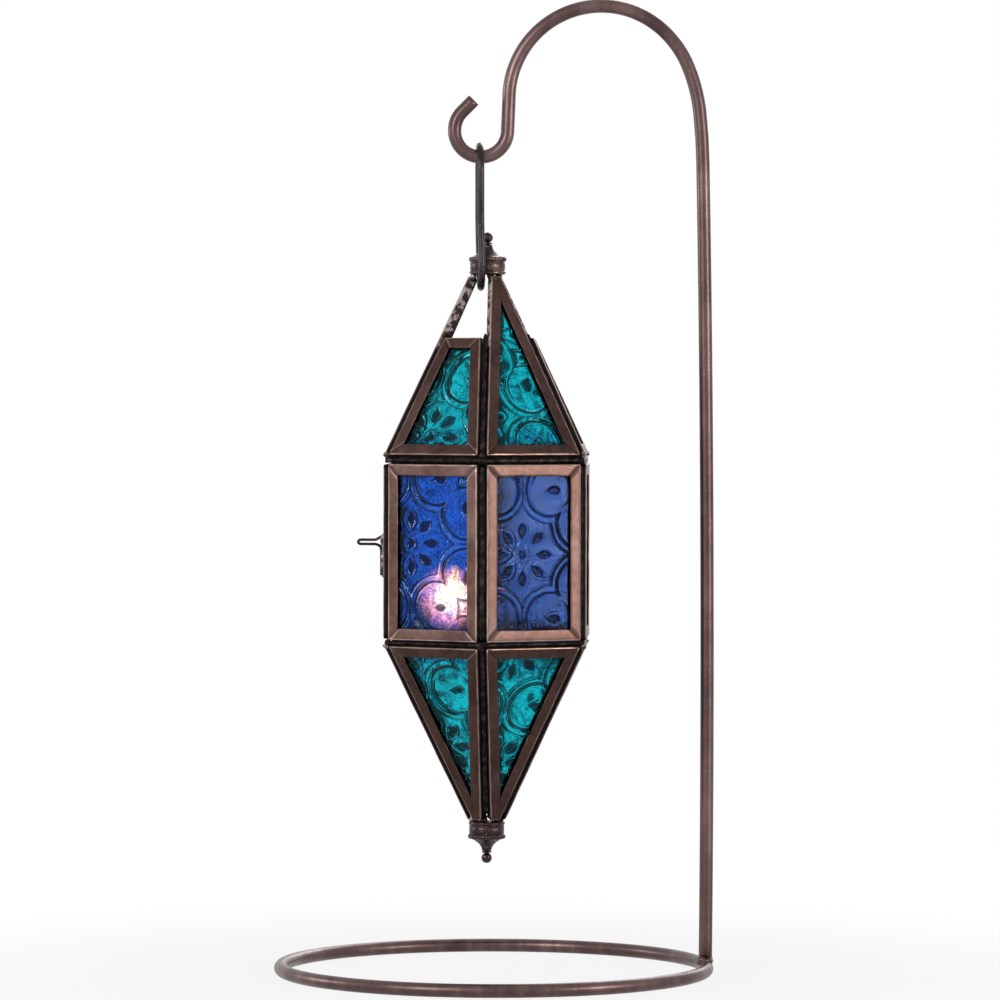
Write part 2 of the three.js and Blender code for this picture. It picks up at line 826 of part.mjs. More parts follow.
// Tealight
function tealight() {
  const group = new THREE.Group();
  group.position.set(tealightPlace.x, tealightPlace.y, bodyFloor - floorDrop + seatGap);
  const outer = tealightDiameter / 2;
  const wall = outer - tealightLip;
  const inner = wall - tealightWall;
  const cup = [
    [0, 0],
    [wall - tealightFootRound, 0],
    [wall, tealightFootRound],
    [wall, tealightHeight - tealightLipHeight],
    [outer, tealightHeight - tealightLipHeight + tealightLip / 2],
    [outer, tealightHeight],
    [inner, tealightHeight],
    [inner, tealightWall],
    [0, tealightWall],
  ];
  const waxRadius = inner - seatGap;
  const waxTop = tealightHeight - waxDrop;
  const bore = wickDiameter / 2 + seatGap;
  const base = tealightWall + seatGap;
  const block = [
    [0, base],
    [waxRadius, base],
    [waxRadius, waxTop],
    [bore, waxTop],
    [bore, waxTop - wickSunk],
    [0, waxTop - wickSunk],
  ];
  const wickFoot = waxTop - wickSunk + seatGap;
  const stem = [
    [0, wickFoot],
    [wickDiameter / 2, wickFoot],
    [wickDiameter / 2, waxTop + wickHeight - wickPoint],
    [wickDiameter / 3, waxTop + wickHeight],
    [0, waxTop + wickHeight],
  ];
  group.add(named("tealight_tin", revolved(cup, 40), finishes.tin));
  group.add(named("tealight_wax", revolved(block, 40), finishes.wax));
  group.add(named("tealight_wick", revolved(stem, 8), finishes.wick));
  return group;
}

const stand = new THREE.Group();
stand.add(named("base_ring", baseRing(), finishes.rod));
stand.add(named("hook_rod", hookRod(), finishes.rod));
stand.add(named("foot_weld", footWeld(), finishes.rod));

const lantern = new THREE.Group();
lantern.position.x = lanternAxis;
lantern.rotation.z = degrees(bodyTurn);
lantern.add(upperTier(), middleTier(), lowerTier(), chamberFloor(), caps());
lantern.add(solder(), hinge(), doorPull(), tealight());

const model = new THREE.Group();
model.add(stand, named("hanging_link", hangingLink(), finishes.rod), lantern);

export default model;
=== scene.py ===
import math
import bmesh
import bpy
import numpy as np
from mathutils import Matrix, Vector, noise


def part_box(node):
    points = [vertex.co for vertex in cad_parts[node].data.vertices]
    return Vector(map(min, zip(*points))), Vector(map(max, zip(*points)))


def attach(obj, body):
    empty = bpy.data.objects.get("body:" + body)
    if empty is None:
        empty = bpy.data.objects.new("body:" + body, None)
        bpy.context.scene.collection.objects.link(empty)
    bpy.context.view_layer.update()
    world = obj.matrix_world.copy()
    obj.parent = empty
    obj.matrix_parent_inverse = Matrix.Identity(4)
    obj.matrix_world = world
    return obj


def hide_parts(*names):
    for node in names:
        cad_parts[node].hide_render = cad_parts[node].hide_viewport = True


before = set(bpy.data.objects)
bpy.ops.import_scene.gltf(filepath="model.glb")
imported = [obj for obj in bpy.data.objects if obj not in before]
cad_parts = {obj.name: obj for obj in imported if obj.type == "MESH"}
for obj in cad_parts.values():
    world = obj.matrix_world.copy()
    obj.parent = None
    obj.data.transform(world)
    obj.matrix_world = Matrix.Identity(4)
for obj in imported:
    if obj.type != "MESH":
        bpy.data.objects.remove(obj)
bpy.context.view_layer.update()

# The picture. A long lens a little over two metres away, level with the middle of the glass box
# and tipped down by about a degree, as the stand's base ring shows. The picture is 1000 pixels wide.
mm = 0.001
picture = 1000
focal_pixels = 5400
camera_place = Vector((2.2 * mm, -2160 * mm, 236 * mm))
camera_target = Vector((2.2 * mm, 0, 190 * mm))
camera_roll = math.radians(0.1)

lens = bpy.data.cameras.new("camera")
lens.sensor_width = 36
lens.lens = focal_pixels / picture * lens.sensor_width
lens.clip_end = 20
camera = bpy.data.objects.new("camera", lens)
bpy.context.scene.collection.objects.link(camera)
looking = (camera_target - camera_place).to_track_quat("-Z", "Y").to_matrix().to_4x4()
camera.matrix_world = Matrix.Translation(camera_place) @ looking @ Matrix.Rotation(camera_roll, 4, "Z")
bpy.context.scene.camera = camera
bpy.context.scene.view_settings.view_transform = "Standard"


# Shader maths. A Shade wraps one output socket, and Python's operators on it add Math nodes,
# or Vector Math nodes where it carries a colour or a vector. A Finish is one material being wired.
class Shade:
    def __init__(self, finish, socket):
        self.finish = finish
        self.socket = socket

    def sum_of(self, operation, *others):
        wide = [self, *others]
        vector = any(isinstance(v, Shade) and v.socket.type in ("VECTOR", "RGBA") for v in wide)
        if vector:
            values = [v if isinstance(v, (Shade, tuple)) else (v, v, v) for v in wide]
            kind = "ShaderNodeVectorMath"
        else:
            values = wide
            kind = "ShaderNodeMath"
        return self.finish.node(kind, {"operation": operation}, dict(enumerate(values)))

    def __add__(self, other):
        return self.sum_of("ADD", other)

    __radd__ = __add__

    def __mul__(self, other):
        return self.sum_of("MULTIPLY", other)

    __rmul__ = __mul__

    def __sub__(self, other):
        return self.sum_of("SUBTRACT", other)

    def __rsub__(self, other):
        return (self * -1) + other

    def __truediv__(self, other):
        return self.sum_of("DIVIDE", other)

    def __abs__(self):
        return self.sum_of("ABSOLUTE")

    def larger(self, other):
        return self.sum_of("MAXIMUM", other)

    def smaller(self, other):
        return self.sum_of("MINIMUM", other)

    def cosine(self):
        return self.sum_of("COSINE")

    def ramp(self, low, high, start=0.0, end=1.0):
        ends = {"Value": self, "From Min": low, "From Max": high, "To Min": start, "To Max": end}
        return self.finish.node("ShaderNodeMapRange", {"interpolation_type": "SMOOTHSTEP"}, ends)


class Finish:
    def __init__(self, name, owner=None):
        self.owner = owner or bpy.data.materials.new(name)
        self.owner.use_nodes = True
        self.tree = self.owner.node_tree
        self.tree.nodes.clear()

    def node(self, kind, settings=None, inputs=None, output=0):
        made = self.tree.nodes.new(kind)
        for key, value in (settings or {}).items():
            setattr(made, key, value)
        for key, value in (inputs or {}).items():
            if isinstance(value, Shade):
                self.tree.links.new(value.socket, made.inputs[key])
            else:
                made.inputs[key].default_value = value
        return Shade(self, made.outputs[output])

    def blend(self, amount, first, second):
        inputs = {"Factor": amount, "A": first, "B": second}
        mix = self.tree.nodes.new("ShaderNodeMix")
        mix.data_type = "RGBA"
        for socket in mix.inputs:
            if socket.name in inputs and socket.enabled:
                value = inputs[socket.name]
                if isinstance(value, Shade):
                    self.tree.links.new(value.socket, socket)
                else:
                    socket.default_value = value if isinstance(value, float) else (*value[:3], 1)
        return Shade(self, next(s for s in mix.outputs if s.enabled))

    def place(self):
        return self.node("ShaderNodeTexCoord", output="Object")

    def grain(self, scale, detail=2.0, stretch=(1, 1, 1)):
        stretched = self.place() * stretch
        texture = {"Vector": stretched, "Scale": scale, "Detail": detail}
        return self.node("ShaderNodeTexNoise", {}, texture, "Fac")

    def carried(self, name):
        return self.node("ShaderNodeAttribute", {"attribute_name": name}, output="Fac")

    def bump(self, height, distance, strength=1.0):
        inputs = {"Height": height, "Distance": distance, "Strength": strength}
        return self.node("ShaderNodeBump", {}, inputs)

    def surface(self, **inputs):
        named = {}
        for key, value in inputs.items():
            named[key.replace("_", " ")] = (*value, 1) if isinstance(value, tuple) else value
        return self.node("ShaderNodeBsdfPrincipled", {}, named)

    def output(self, shader, kind="ShaderNodeOutputMaterial"):
        self.tree.links.new(shader.socket, self.tree.nodes.new(kind).inputs["Surface"])
        return self.owner


# The room. A pale floor and a sky that the camera, the metal and the glass all see as white. Soft
# lamps add to it: a key at the left, one at the right that lights the front-right side, two behind.
floor_reach = 3.0
floor_drop = -0.02 * mm
lamp_target = (0, 0, 0.2)
floor_shade = 0.45
floor_shadow = 0.12
floor_shaded = (0.10, 0.34)
studio_dimness = 0.24


def lamp(name, place, size, watts, colour=(1, 1, 1)):
    """A soft lamp that the glass doesn't show as a bright square."""
    light = bpy.data.lights.new(name, "AREA")
    light.size = size
    light.energy = watts
    light.color = colour
    holder = bpy.data.objects.new(name, light)
    bpy.context.scene.collection.objects.link(holder)
    facing = (Vector(lamp_target) - Vector(place)).to_track_quat("-Z", "Y").to_matrix().to_4x4()
    holder.matrix_world = Matrix.Translation(place) @ facing
    holder.visible_transmission = False


lamp("key", (-0.9, -1.3, 0.75), 0.55, 13)
lamp("side", (1.15, -0.80, 0.34), 0.42, 8, (1, 0.96, 0.93))
lamp("rim_left", (-1.4, 0.25, 0.4), 0.4, 5)
lamp("back", (0.5, 1.4, 0.9), 0.8, 8)


def seen_as_background(finish):
    """1 for rays that show the plain white surroundings, 0 for those that only bring light."""
    camera_ray = finish.node("ShaderNodeLightPath", output="Is Camera Ray")
    glossy_ray = finish.node("ShaderNodeLightPath", output="Is Glossy Ray")
    transmission_ray = finish.node("ShaderNodeLightPath", output="Is Transmission Ray")
    return camera_ray.larger(glossy_ray).larger(transmission_ray)


def floor_finish():
    f = Finish("pale_floor")
    matte = f.node("ShaderNodeBsdfDiffuse", {}, {"Color": (floor_shade, floor_shade, floor_shade, 1)})
    glow = f.node("ShaderNodeEmission", {}, {"Color": (1, 1, 1, 1), "Strength": 1.0})
    far = f.node("ShaderNodeVectorMath", {"operation": "LENGTH"}, {0: f.place()}, "Value")
    shaded = far.ramp(floor_shaded[0], floor_shaded[1], floor_shadow, 0)
    shares = {0: seen_as_background(f) * (1 - shaded), 1: matte, 2: glow}
    return f.output(f.node("ShaderNodeMixShader", {}, shares))


floor_mesh = bpy.data.meshes.new("floor")
corners = [(-floor_reach, -floor_reach), (floor_reach, -floor_reach), (floor_reach, floor_reach)]
corners.append((-floor_reach, floor_reach))
floor_mesh.from_pydata([(x, y, floor_drop) for x, y in corners], [], [(0, 1, 2, 3)])
floor_mesh.materials.append(floor_finish())
floor = bpy.data.objects.new("floor", floor_mesh)
bpy.context.scene.collection.objects.link(floor)

world = bpy.data.worlds.new("sky")
bpy.context.scene.world = world
sky = Finish("sky", world)
sky_glow = seen_as_background(sky) * (1 - studio_dimness) + studio_dimness
shine = sky.node("ShaderNodeBackground", {}, {"Color": (1, 1, 1, 1), "Strength": sky_glow})
sky.output(shine, "ShaderNodeOutputWorld")


# Stand. One steel rod lies in a ring on the table, and a second one rises from its right end,
# bends over in a crook and comes round in an open hook. Both have a dark bronze lacquer.
rod_radius = 2.7 * mm
ring_radius = 85.3 * mm
upright_foot = 84.8 * mm
crook_entry = (5.5 * mm, 350.3 * mm)
hook_centre = (-5.6 * mm, 337.7 * mm)
hook_radius = 10.6 * mm
hook_tip_length = 6.4 * mm
hook_tip_bearing = 135
crook_bends = [(37.1 * mm, 112), (36.4 * mm, 50), (40.3 * mm, 22), (68.5 * mm, 6), (235 * mm, 1.2)]
upright_bow = 1.15 * mm


def stand_for(piece, node, body, slot):
    """Puts a piece in the place of a CAD node."""
    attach(piece, body)
    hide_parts(node)


def add_mesh(mesh, finish):
    mesh.polygons.foreach_set("use_smooth", [True] * len(mesh.polygons))
    mesh.materials.append(finish)
    made = bpy.data.objects.new(mesh.name, mesh)
    bpy.context.scene.collection.objects.link(made)
    return made


def add_object(name, verts, faces, finish):
    mesh = bpy.data.meshes.new(name)
    mesh.from_pydata([tuple(v) for v in verts], [], faces)
    return add_mesh(mesh, finish)


def grid_faces(rows, columns, wrap_rows, wrap_columns, start=0):
    """Faces of a grid of points that may close on itself either way."""
    faces = []
    for i in range(rows if wrap_rows else rows - 1):
        for j in range(columns if wrap_columns else columns - 1):
            a, b = start + i * columns + j, start + i * columns + (j + 1) % columns
            below = start + ((i + 1) % rows) * columns
            faces.append((a, b, below + (j + 1) % columns, below + j))
    return faces


def outward(made):
    """Turns a closed mesh's faces so that they all look out."""
    whole = bmesh.new()
    whole.from_mesh(made.data)
    bmesh.ops.recalc_face_normals(whole, faces=whole.faces)
    whole.to_mesh(made.data)
    whole.free()
    return made


def tube(name, path, radius, across, finish, sides=28, closed=False):
    """A round bar along a path that lies square to the direction across."""
    path = np.asarray(path, float)
    across = np.asarray(across, float)
    if closed:
        along = np.roll(path, -1, 0) - np.roll(path, 1, 0)
    else:
        along = np.gradient(path, axis=0)
    along /= np.linalg.norm(along, axis=1)[:, None]
    beside = np.cross(across, along)
    radii = np.broadcast_to(radius, len(path))
    turn = np.linspace(0, 2 * math.pi, sides, endpoint=False)
    ring = np.cos(turn)[None, :, None] * beside[:, None] + np.sin(turn)[None, :, None] * across
    points = path[:, None] + ring * radii[:, None, None]
    faces = grid_faces(len(path), sides, closed, True)
    if not closed:
        faces.append(tuple(range(sides)))
        faces.append(tuple((len(path) - 1) * sides + k for k in range(sides)))
    return outward(add_object(name, points.reshape(-1, 3), faces, finish))


def arc(centre, radius, start, end, step=2.5):
    count = max(2, math.ceil(abs(end - start) / step))
    turn = np.radians(np.linspace(start, end, count + 1))
    x = centre[0] + radius * np.cos(turn)
    return [(a, 0, b) for a, b in zip(x, centre[1] + radius * np.sin(turn))]


def crook_path():
    bowl = arc(hook_centre, hook_radius, hook_tip_bearing - 360, 0)
    tip_turn = math.radians(hook_tip_bearing - 90)
    reach = np.linspace(hook_tip_length, 0, 5)[:-1, None]
    tip = np.asarray(bowl[0]) + reach * np.array([math.cos(tip_turn), 0, math.sin(tip_turn)])
    path = [tuple(p) for p in tip] + bowl + [(crook_entry[0], 0, crook_entry[1])]
    centre = (crook_entry[0] + crook_bends[0][0], crook_entry[1])
    last, bearing = crook_bends[0][0], 180
    for radius, to in crook_bends:
        turn, shift = math.radians(bearing), last - radius
        centre = (centre[0] + shift * math.cos(turn), centre[1] + shift * math.sin(turn))
        path += arc(centre, radius, bearing, to)[1:]
        last, bearing = radius, to
    shoulder = np.asarray(path[-1])
    foot = np.array([upright_foot, 0, 5 * mm])
    for t in np.linspace(0, 1, 60)[1:]:
        point = shoulder * (1 - t) + foot * t
        path.append((point[0] + upright_bow * 4 * t * (1 - t), 0, point[2]))
    return path


def bronze(name, dark=(0.070, 0.042, 0.041), warm=(0.195, 0.125, 0.122), rough=0.36):
    f = Finish(name)
    cloud = f.grain(55, 3)
    fleck = f.grain(900, 4)
    rub = f.grain(160, 3, (1, 1, 0.3)).ramp(0.42, 0.72)
    colour = f.blend(cloud.ramp(0.3, 0.75) * 0.35 + rub * 0.35, dark, warm)
    colour = f.blend(fleck.ramp(0.58, 0.75) * 0.35, colour, (0.27, 0.18, 0.15))
    shine = f.grain(420, 3) * 0.12 + (rough - 0.06)
    relief = f.bump(f.grain(1400, 3), 0.02 * mm, 0.5)
    return f.output(f.surface(Base_Color=colour, Metallic=0.9, Roughness=shine, Normal=relief))


rod_bronze = bronze("rod_bronze")
hook_rod = tube("stand_crook", crook_path(), rod_radius, (0, 1, 0), rod_bronze)
stand_for(hook_rod, "hook_rod", "stand", "bronze_rod")

turns = np.radians(np.arange(0, 360, 1.5))
ring_path = np.stack([ring_radius * np.cos(turns), ring_radius * np.sin(turns), 0 * turns + rod_radius], 1)
base_ring = tube("stand_ring", ring_path, rod_radius, (0, 0, 1), rod_bronze, closed=True)
stand_for(base_ring, "base_ring", "stand", "bronze_rod")


# Weld at the upright's foot. A small lumpy saddle of weld metal, lacquered over with the rod.
weld_centre = Vector((upright_foot - 0.5 * mm, 0, 5.4 * mm))
weld_half = Vector((3.7 * mm, 4.1 * mm, 2.4 * mm))


def lump(name, centre, half, finish, roughness=0.12, seed=0.0, level=4):
    """A closed ball of metal, pulled out of round by smooth noise."""
    ball = bmesh.new()
    bmesh.ops.create_icosphere(ball, subdivisions=level, radius=1)
    for v in ball.verts:
        push = noise.noise(v.co * 1.7 + Vector((seed, seed * 0.7, -seed))) * roughness
        v.co = Vector(c * h for c, h in zip(v.co * (1 + push), half)) + centre
    mesh = bpy.data.meshes.new(name)
    ball.to_mesh(mesh)
    ball.free()
    return add_mesh(mesh, finish)


foot_weld = lump("stand_weld", weld_centre, weld_half, rod_bronze, 0.25, 3.1)
stand_for(foot_weld, "foot_weld", "stand", "bronze_rod")


# Hanging link. One loop of steel wire, closed by a butt joint, which rocks in the hook's bowl
# and takes the cap's rim in its lower bend. It is seen edge-on.
link_wire = 1.4 * mm
link_turn = math.radians(2.7)
link_bend = 0.5 * mm
link_low, link_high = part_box("hanging_link")
link_x = (link_low.x + link_high.x) / 2
link_half = (link_high.y - link_low.y) / 2 - link_wire
link_ends = (link_low.z + link_wire + link_half, link_high.z - link_wire - link_half)


def link_path():
    path = []
    for base, start in ((link_ends[1], 0), (link_ends[0], 180)):
        for turn in np.radians(np.arange(start, start + 181, 6)):
            path.append((link_x, link_half * math.cos(turn), base + link_half * math.sin(turn)))
    filled = []
    for here, there in zip(path, path[1:] + path[:1]):
        steps = max(1, round(math.dist(here, there) / (1.5 * mm)))
        filled += [np.add(here, np.subtract(there, here) * k / steps) for k in range(steps)]
    bent = []
    for x, y, z in filled:
        share = (z - link_ends[0]) / (link_ends[1] - link_ends[0])
        bend = link_bend * math.sin(math.pi / 2 * min(1, max(0, share * 1.6)))
        bent.append((x - bend - y * math.sin(link_turn), y * math.cos(link_turn), z))
    return bent


link_bronze = bronze("link_bronze", (0.016, 0.0125, 0.014), (0.060, 0.048, 0.052), 0.38)
link_across = (math.cos(link_turn), math.sin(link_turn), 0)
link = tube("wire_link", link_path(), link_wire, link_across, link_bronze, 20, True)
stand_for(link, "hanging_link", "link", "bronze_rod")


# Caps. Each is spun from sheet with a plain bead, a band, a milled bead and a hollow-sided roof,
# and carries a turned ball finial. The one below is the same cap turned over.
cap_bead = 7.3 * mm
cap_band = 7.0 * mm
cap_roof = 7.2 * mm
ball_radius = 2.1 * mm
ball_height = 14.8 * mm
cap_mills = 40
mill_depth = 0.22 * mm


def in_mm(*places):
    """Places of a profile, given in millimetres, in metres."""
    return [tuple(value * mm for value in place) for place in places]


def lathe(name, profile, finish, segments=120, mills=0):
    """Turns a profile of (radius, height) about Z, with its milled points waved in and out."""
    turn = np.linspace(0, 2 * math.pi, segments, endpoint=False)
    rows = []
    for point in profile:
        radius = np.full(segments, point[0])
        if len(point) > 2:
            radius += point[2] * (np.abs(np.cos(turn * mills / 2)) - 0.6)
        rows.append(np.stack([radius * np.cos(turn), radius * np.sin(turn), 0 * turn + point[1]], 1))
    points = np.concatenate(rows)
    faces = grid_faces(len(profile), segments, False, True)
    faces.append(tuple(range(segments)))
    faces.append(tuple((len(profile) - 1) * segments + k for k in range(segments)))
    return outward(add_object(name, points, faces, finish))


def rounded(radius, low, high, bulge, count=7):
    """A bead's outline, from its lower edge to its upper one."""
    steps = np.linspace(-math.pi / 2, math.pi / 2, count)
    middle, half = (low + high) / 2, (high - low) / 2
    return [(radius + bulge * math.cos(s), middle + half * math.sin(s)) for s in steps]


def cap_profile():
    points = in_mm((5.9, 0), (6.6, 0))
    points += rounded(cap_bead - 0.7 * mm, 0.05 * mm, 1.6 * mm, 0.7 * mm)
    points += [(cap_band, 1.75 * mm), (cap_band, 3.4 * mm), (cap_band, 5.2 * mm)]
    for r, z in rounded(cap_bead - 0.45 * mm, 5.3 * mm, 7.0 * mm, 0.62 * mm, 9):
        points.append((r, z, mill_depth))
    points += in_mm((6.4, 7.15)) + [(6.1 * mm, cap_roof)]
    for t in np.linspace(0, 1, 14):
        points.append(((1.9 + 4.0 * (1 - t) ** 2.1) * mm, cap_roof + 4.7 * t * mm))
    return points + in_mm((1.3, 11.9), (1.3, 11))


def finial_profile():
    points = in_mm((1.0, 9.6), (1.0, 12.1), (1.9, 12.15), (2.05, 12.4), (1.9, 12.65), (0.9, 12.8))
    for turn in np.radians(np.linspace(-62, 88, 18)):
        points.append((ball_radius * math.cos(turn), ball_height + ball_radius * math.sin(turn)))
    return points


def cap_copper(name, roof_shade_foot):
    """Copper that is painted darker over a given height, where the roof starts, as painted shade, and sooty
    at random.
    """
    f = Finish(name)
    height = f.node("ShaderNodeSeparateXYZ", {}, {"Vector": f.place()}, "Z")
    soot = f.grain(260, 4).ramp(0.33, 0.6)
    rings = (height * 9000).cosine() * 0.5 + 0.5
    # The roof's darkness is painted shade.
    roof_shade = height.ramp(roof_shade_foot, roof_shade_foot + 1 * mm)
    soot_and_roof_shade = (soot * 0.85).larger(roof_shade * 0.85)
    colour = f.blend(soot_and_roof_shade, (0.145, 0.090, 0.086), (0.018, 0.012, 0.013))
    colour = f.blend(f.grain(1500, 3).ramp(0.6, 0.72) * 0.5, colour, (0.32, 0.24, 0.21))
    shine = soot * 0.2 + 0.24
    relief = f.bump(f.grain(2200, 2) + rings * 0.15, 0.02 * mm, 0.7)
    return f.output(f.surface(Base_Color=colour, Metallic=0.92, Roughness=shine, Normal=relief))


# The lower cap is painted dark all over as painted shade, so its roof counts as starting far below it.
for which, flip in (("top", 1), ("bottom", -1)):
    low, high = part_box(which + "_cap")
    foot, roof_shade_foot = (low.z, low.z + cap_roof) if flip > 0 else (high.z, low.z - 1)
    cap_finish = cap_copper(which + "_cap_copper", roof_shade_foot)
    stand = Matrix.Translation(((low.x + high.x) / 2, (low.y + high.y) / 2, foot))
    turned = stand @ Matrix.Diagonal((1, flip, flip, 1))
    spun = lathe(which + "_spun_cap", cap_profile(), cap_finish, 240, cap_mills)
    ball = lathe(which + "_ball_finial", finial_profile(), cap_finish, 48)
    for made, node in ((spun, "_cap"), (ball, "_finial")):
        made.data.transform(turned)
        stand_for(made, which + node, "lantern", "spun_cap")


# Channel frames. Each panel of the lantern is edged with sheet steel folded to a U, mitred at the
# corners and copper plated, then darkened and rubbed back, so that the folds are bright; that
# brightness is also painted highlight. The channel's hollow is painted dark as painted shade along
# with flux, and the spire frames take a darker copy of the copper than the box as painted shade.
lantern_axis = -2.9 * mm
body_turn = math.radians(-2.5)
side_width = 42.2 * mm
tip_width = 4.6 * mm
channel_depth = 3.8 * mm
channel_lip = 4.6 * mm
channel_sheet = 0.45 * mm
fold_radius = 0.75 * mm
seat_gap = 0.3 * mm
upper_gap = 2 * mm
lower_gap = 0.9 * mm
body_floor = 134.9 * mm
body_height = 69.9 * mm
upper_height = 71.2 * mm
lower_height = 70.5 * mm
vent_start = 46.6 * mm
door_clearance = 0.35 * mm
mitre_gap = 0.06 * mm
body_top = body_floor + body_height
inner_apothem = side_width * math.sqrt(3) / 2
tip_apothem = tip_width * math.sqrt(3) / 2
sides = [("front_left", -30, False), ("front_right", 30, True), ("right", 90, False)]
sides += [("back_right", 150, True), ("back_left", -150, False), ("left", -90, True)]


def lean(height):
    return math.atan2(inner_apothem - tip_apothem, height)


def lantern_frame():
    return Matrix.Translation((lantern_axis, 0, 0)) @ Matrix.Rotation(body_turn, 4, "Z")


def panel_frame(bearing, height, tilt):
    """From a panel's own plane, x across, y up and z outward, to its place on the lantern."""
    turn = math.radians(bearing)
    foot = Vector((inner_apothem * math.sin(turn), -inner_apothem * math.cos(turn), height))
    stand = Matrix.Translation(foot) @ Matrix.Rotation(turn, 4, "Z")
    return lantern_frame() @ stand @ Matrix.Rotation(math.pi / 2 - tilt, 4, "X")


def trapezium(bottom, top, height, up=1):
    trim = seat_gap / 2
    points = [(-bottom / 2 + trim, 0), (bottom / 2 - trim, 0)]
    points += [(top / 2 - trim, height * up), (-top / 2 + trim, height * up)]
    return points if up > 0 else points[::-1]


def spire_outline(height, up_to, up):
    slant = math.hypot(inner_apothem - tip_apothem, height)
    top = side_width + (tip_width - side_width) * up_to / height
    return trapezium(side_width, top, slant * up_to / height, up)


def inset(outline, distance):
    """An outline moved inward. Where its sides cross at a narrow tip, both corners meet there."""
    moved = []
    for i, point in enumerate(outline):
        here, before = Vector(point), Vector(outline[i - 1])
        after = Vector(outline[(i + 1) % len(outline)])
        into, out = (here - before).normalized(), (after - here).normalized()
        a, b = Vector((-into.y, into.x)), Vector((-out.y, out.x))
        moved.append(here + (a + b) * (distance / (1 + a.dot(b))))
    crossed = [k for k, p in enumerate(moved) if p.x * outline[k][0] < 0]
    if crossed:
        tip = next(moved[k] for k in crossed if outline[k][0] > 0)
        wide = next(p for k, p in enumerate(moved) if k not in crossed and p.x > 0)
        meeting = wide.lerp(tip, wide.x / (wide.x - tip.x))
        for k in crossed:
            moved[k] = meeting
    return moved


def fold_section():
    """The channel's section from the front lip round to the back one, as (distance in, height,
    how far it is bright from rubbed plating and painted highlight, how far it is dark from
    painted shade and flux)."""
    depth, lip, r, sheet = channel_depth, channel_lip, fold_radius, channel_sheet
    points = [(lip, depth - sheet, 0.2, 0.5), (lip, depth - 0.1 * mm, 0.5, 0)]
    points += [(lip - 0.15 * mm, depth, 0.3, 0)]
    for share, rub in ((0.85, 0.05), (0.6, 0), (0.4, 0), (0.25, 0.1)):
        crown = 0.05 * mm * math.sin(math.pi * share)
        points.append((lip * share, depth + crown, rub, 0))
    for turn in (90, 112, 135, 158, 180):
        a = math.radians(turn)
        rub = 0.25 + 0.7 * math.sin(math.radians((turn - 90) * 2))
        points.append((r + r * math.cos(a), depth - r + r * math.sin(a), rub, (turn - 90) / 90))
    points += [(0, depth * 0.5, 0, 1)]
    for turn in (180, 202, 225, 248, 270):
        a = math.radians(turn)
        points.append((r + r * math.cos(a), r + r * math.sin(a), 0.1, 1))
    points += [(lip * 0.5, 0, 0, 0.9), (lip, 0, 0.1, 0.8), (lip, sheet, 0.1, 0.8)]
    points += [(sheet * 2, sheet, 0, 1), (sheet, sheet * 2, 0, 1)]
    points += [(sheet, depth - sheet * 2, 0, 1), (sheet * 2, depth - sheet, 0, 1)]
    return points


def channel_frame(name, outline, place, finish, seed, tinned_from=None):
    """Four mitred lengths of folded channel in one mesh, a little uneven as hand work is. The outer
    folds are tinned above a given height, where a vent leaves them bare."""
    section = fold_section()
    verts, faces, rubbed_and_highlit, shaded_and_fluxed, tinned = [], [], [], [], []
    offsets = [inset(outline, d) for d, _, _, _ in section]
    for i in range(len(outline)):
        j = (i + 1) % len(outline)
        length = (Vector(outline[j]) - Vector(outline[i])).length
        steps = max(2, round(length / (2.5 * mm)))
        start = len(verts)
        for s in range(steps + 1):
            for (d, height, rub, shade_and_flux), ring in zip(section, offsets):
                a, b = ring[i], ring[j]
                run = b - a
                gap = min(0.4, mitre_gap / max(run.length, 1e-6))
                t = gap + (1 - 2 * gap) * s / steps
                flat = a + run * t
                spot = Vector((flat.x * 90 + seed * 3.7, flat.y * 90, height * 90))
                front = height > channel_depth / 2
                lift = noise.noise(spot) * 0.11 * mm if front else 0
                if front and d > channel_lip / 2:
                    wander = noise.noise(spot * 1.3 + Vector((7, 0, seed))) * 0.16 * mm
                    flat = flat + Vector((-run.y, run.x)).normalized() * wander
                verts.append((flat.x, flat.y, height + lift))
                # The rubbed share is worn plating and a painted highlight, on the folds and at the mitre
                # ends.
                ends = 1 - min(1, min(s, steps - s) / 1.5)
                rubbed_and_highlit.append(min(1, rub + ends * 0.05))
                shaded_and_fluxed.append(shade_and_flux)
                bare = tinned_from is not None and i in (1, 3) and flat.y > tinned_from
                tinned.append(float(bare and d < fold_radius * 0.9 and 0 < height < channel_depth * 0.98))
        n = len(section)
        faces += grid_faces(steps + 1, n, False, True, start)
        faces.append(tuple(start + k for k in range(n)))
        faces.append(tuple(start + steps * n + k for k in range(n)))
    made = add_object(name, verts, faces, finish)
    outward(made)
    for layer_name, values in (("rubbed_and_highlit", rubbed_and_highlit), ("shaded_and_fluxed", shaded_and_fluxed), ("tinned", tinned)):
        layer = made.data.attributes.new(layer_name, "FLOAT", "POINT")
        layer.data.foreach_set("value", values)
    made.data.transform(place)
    return made


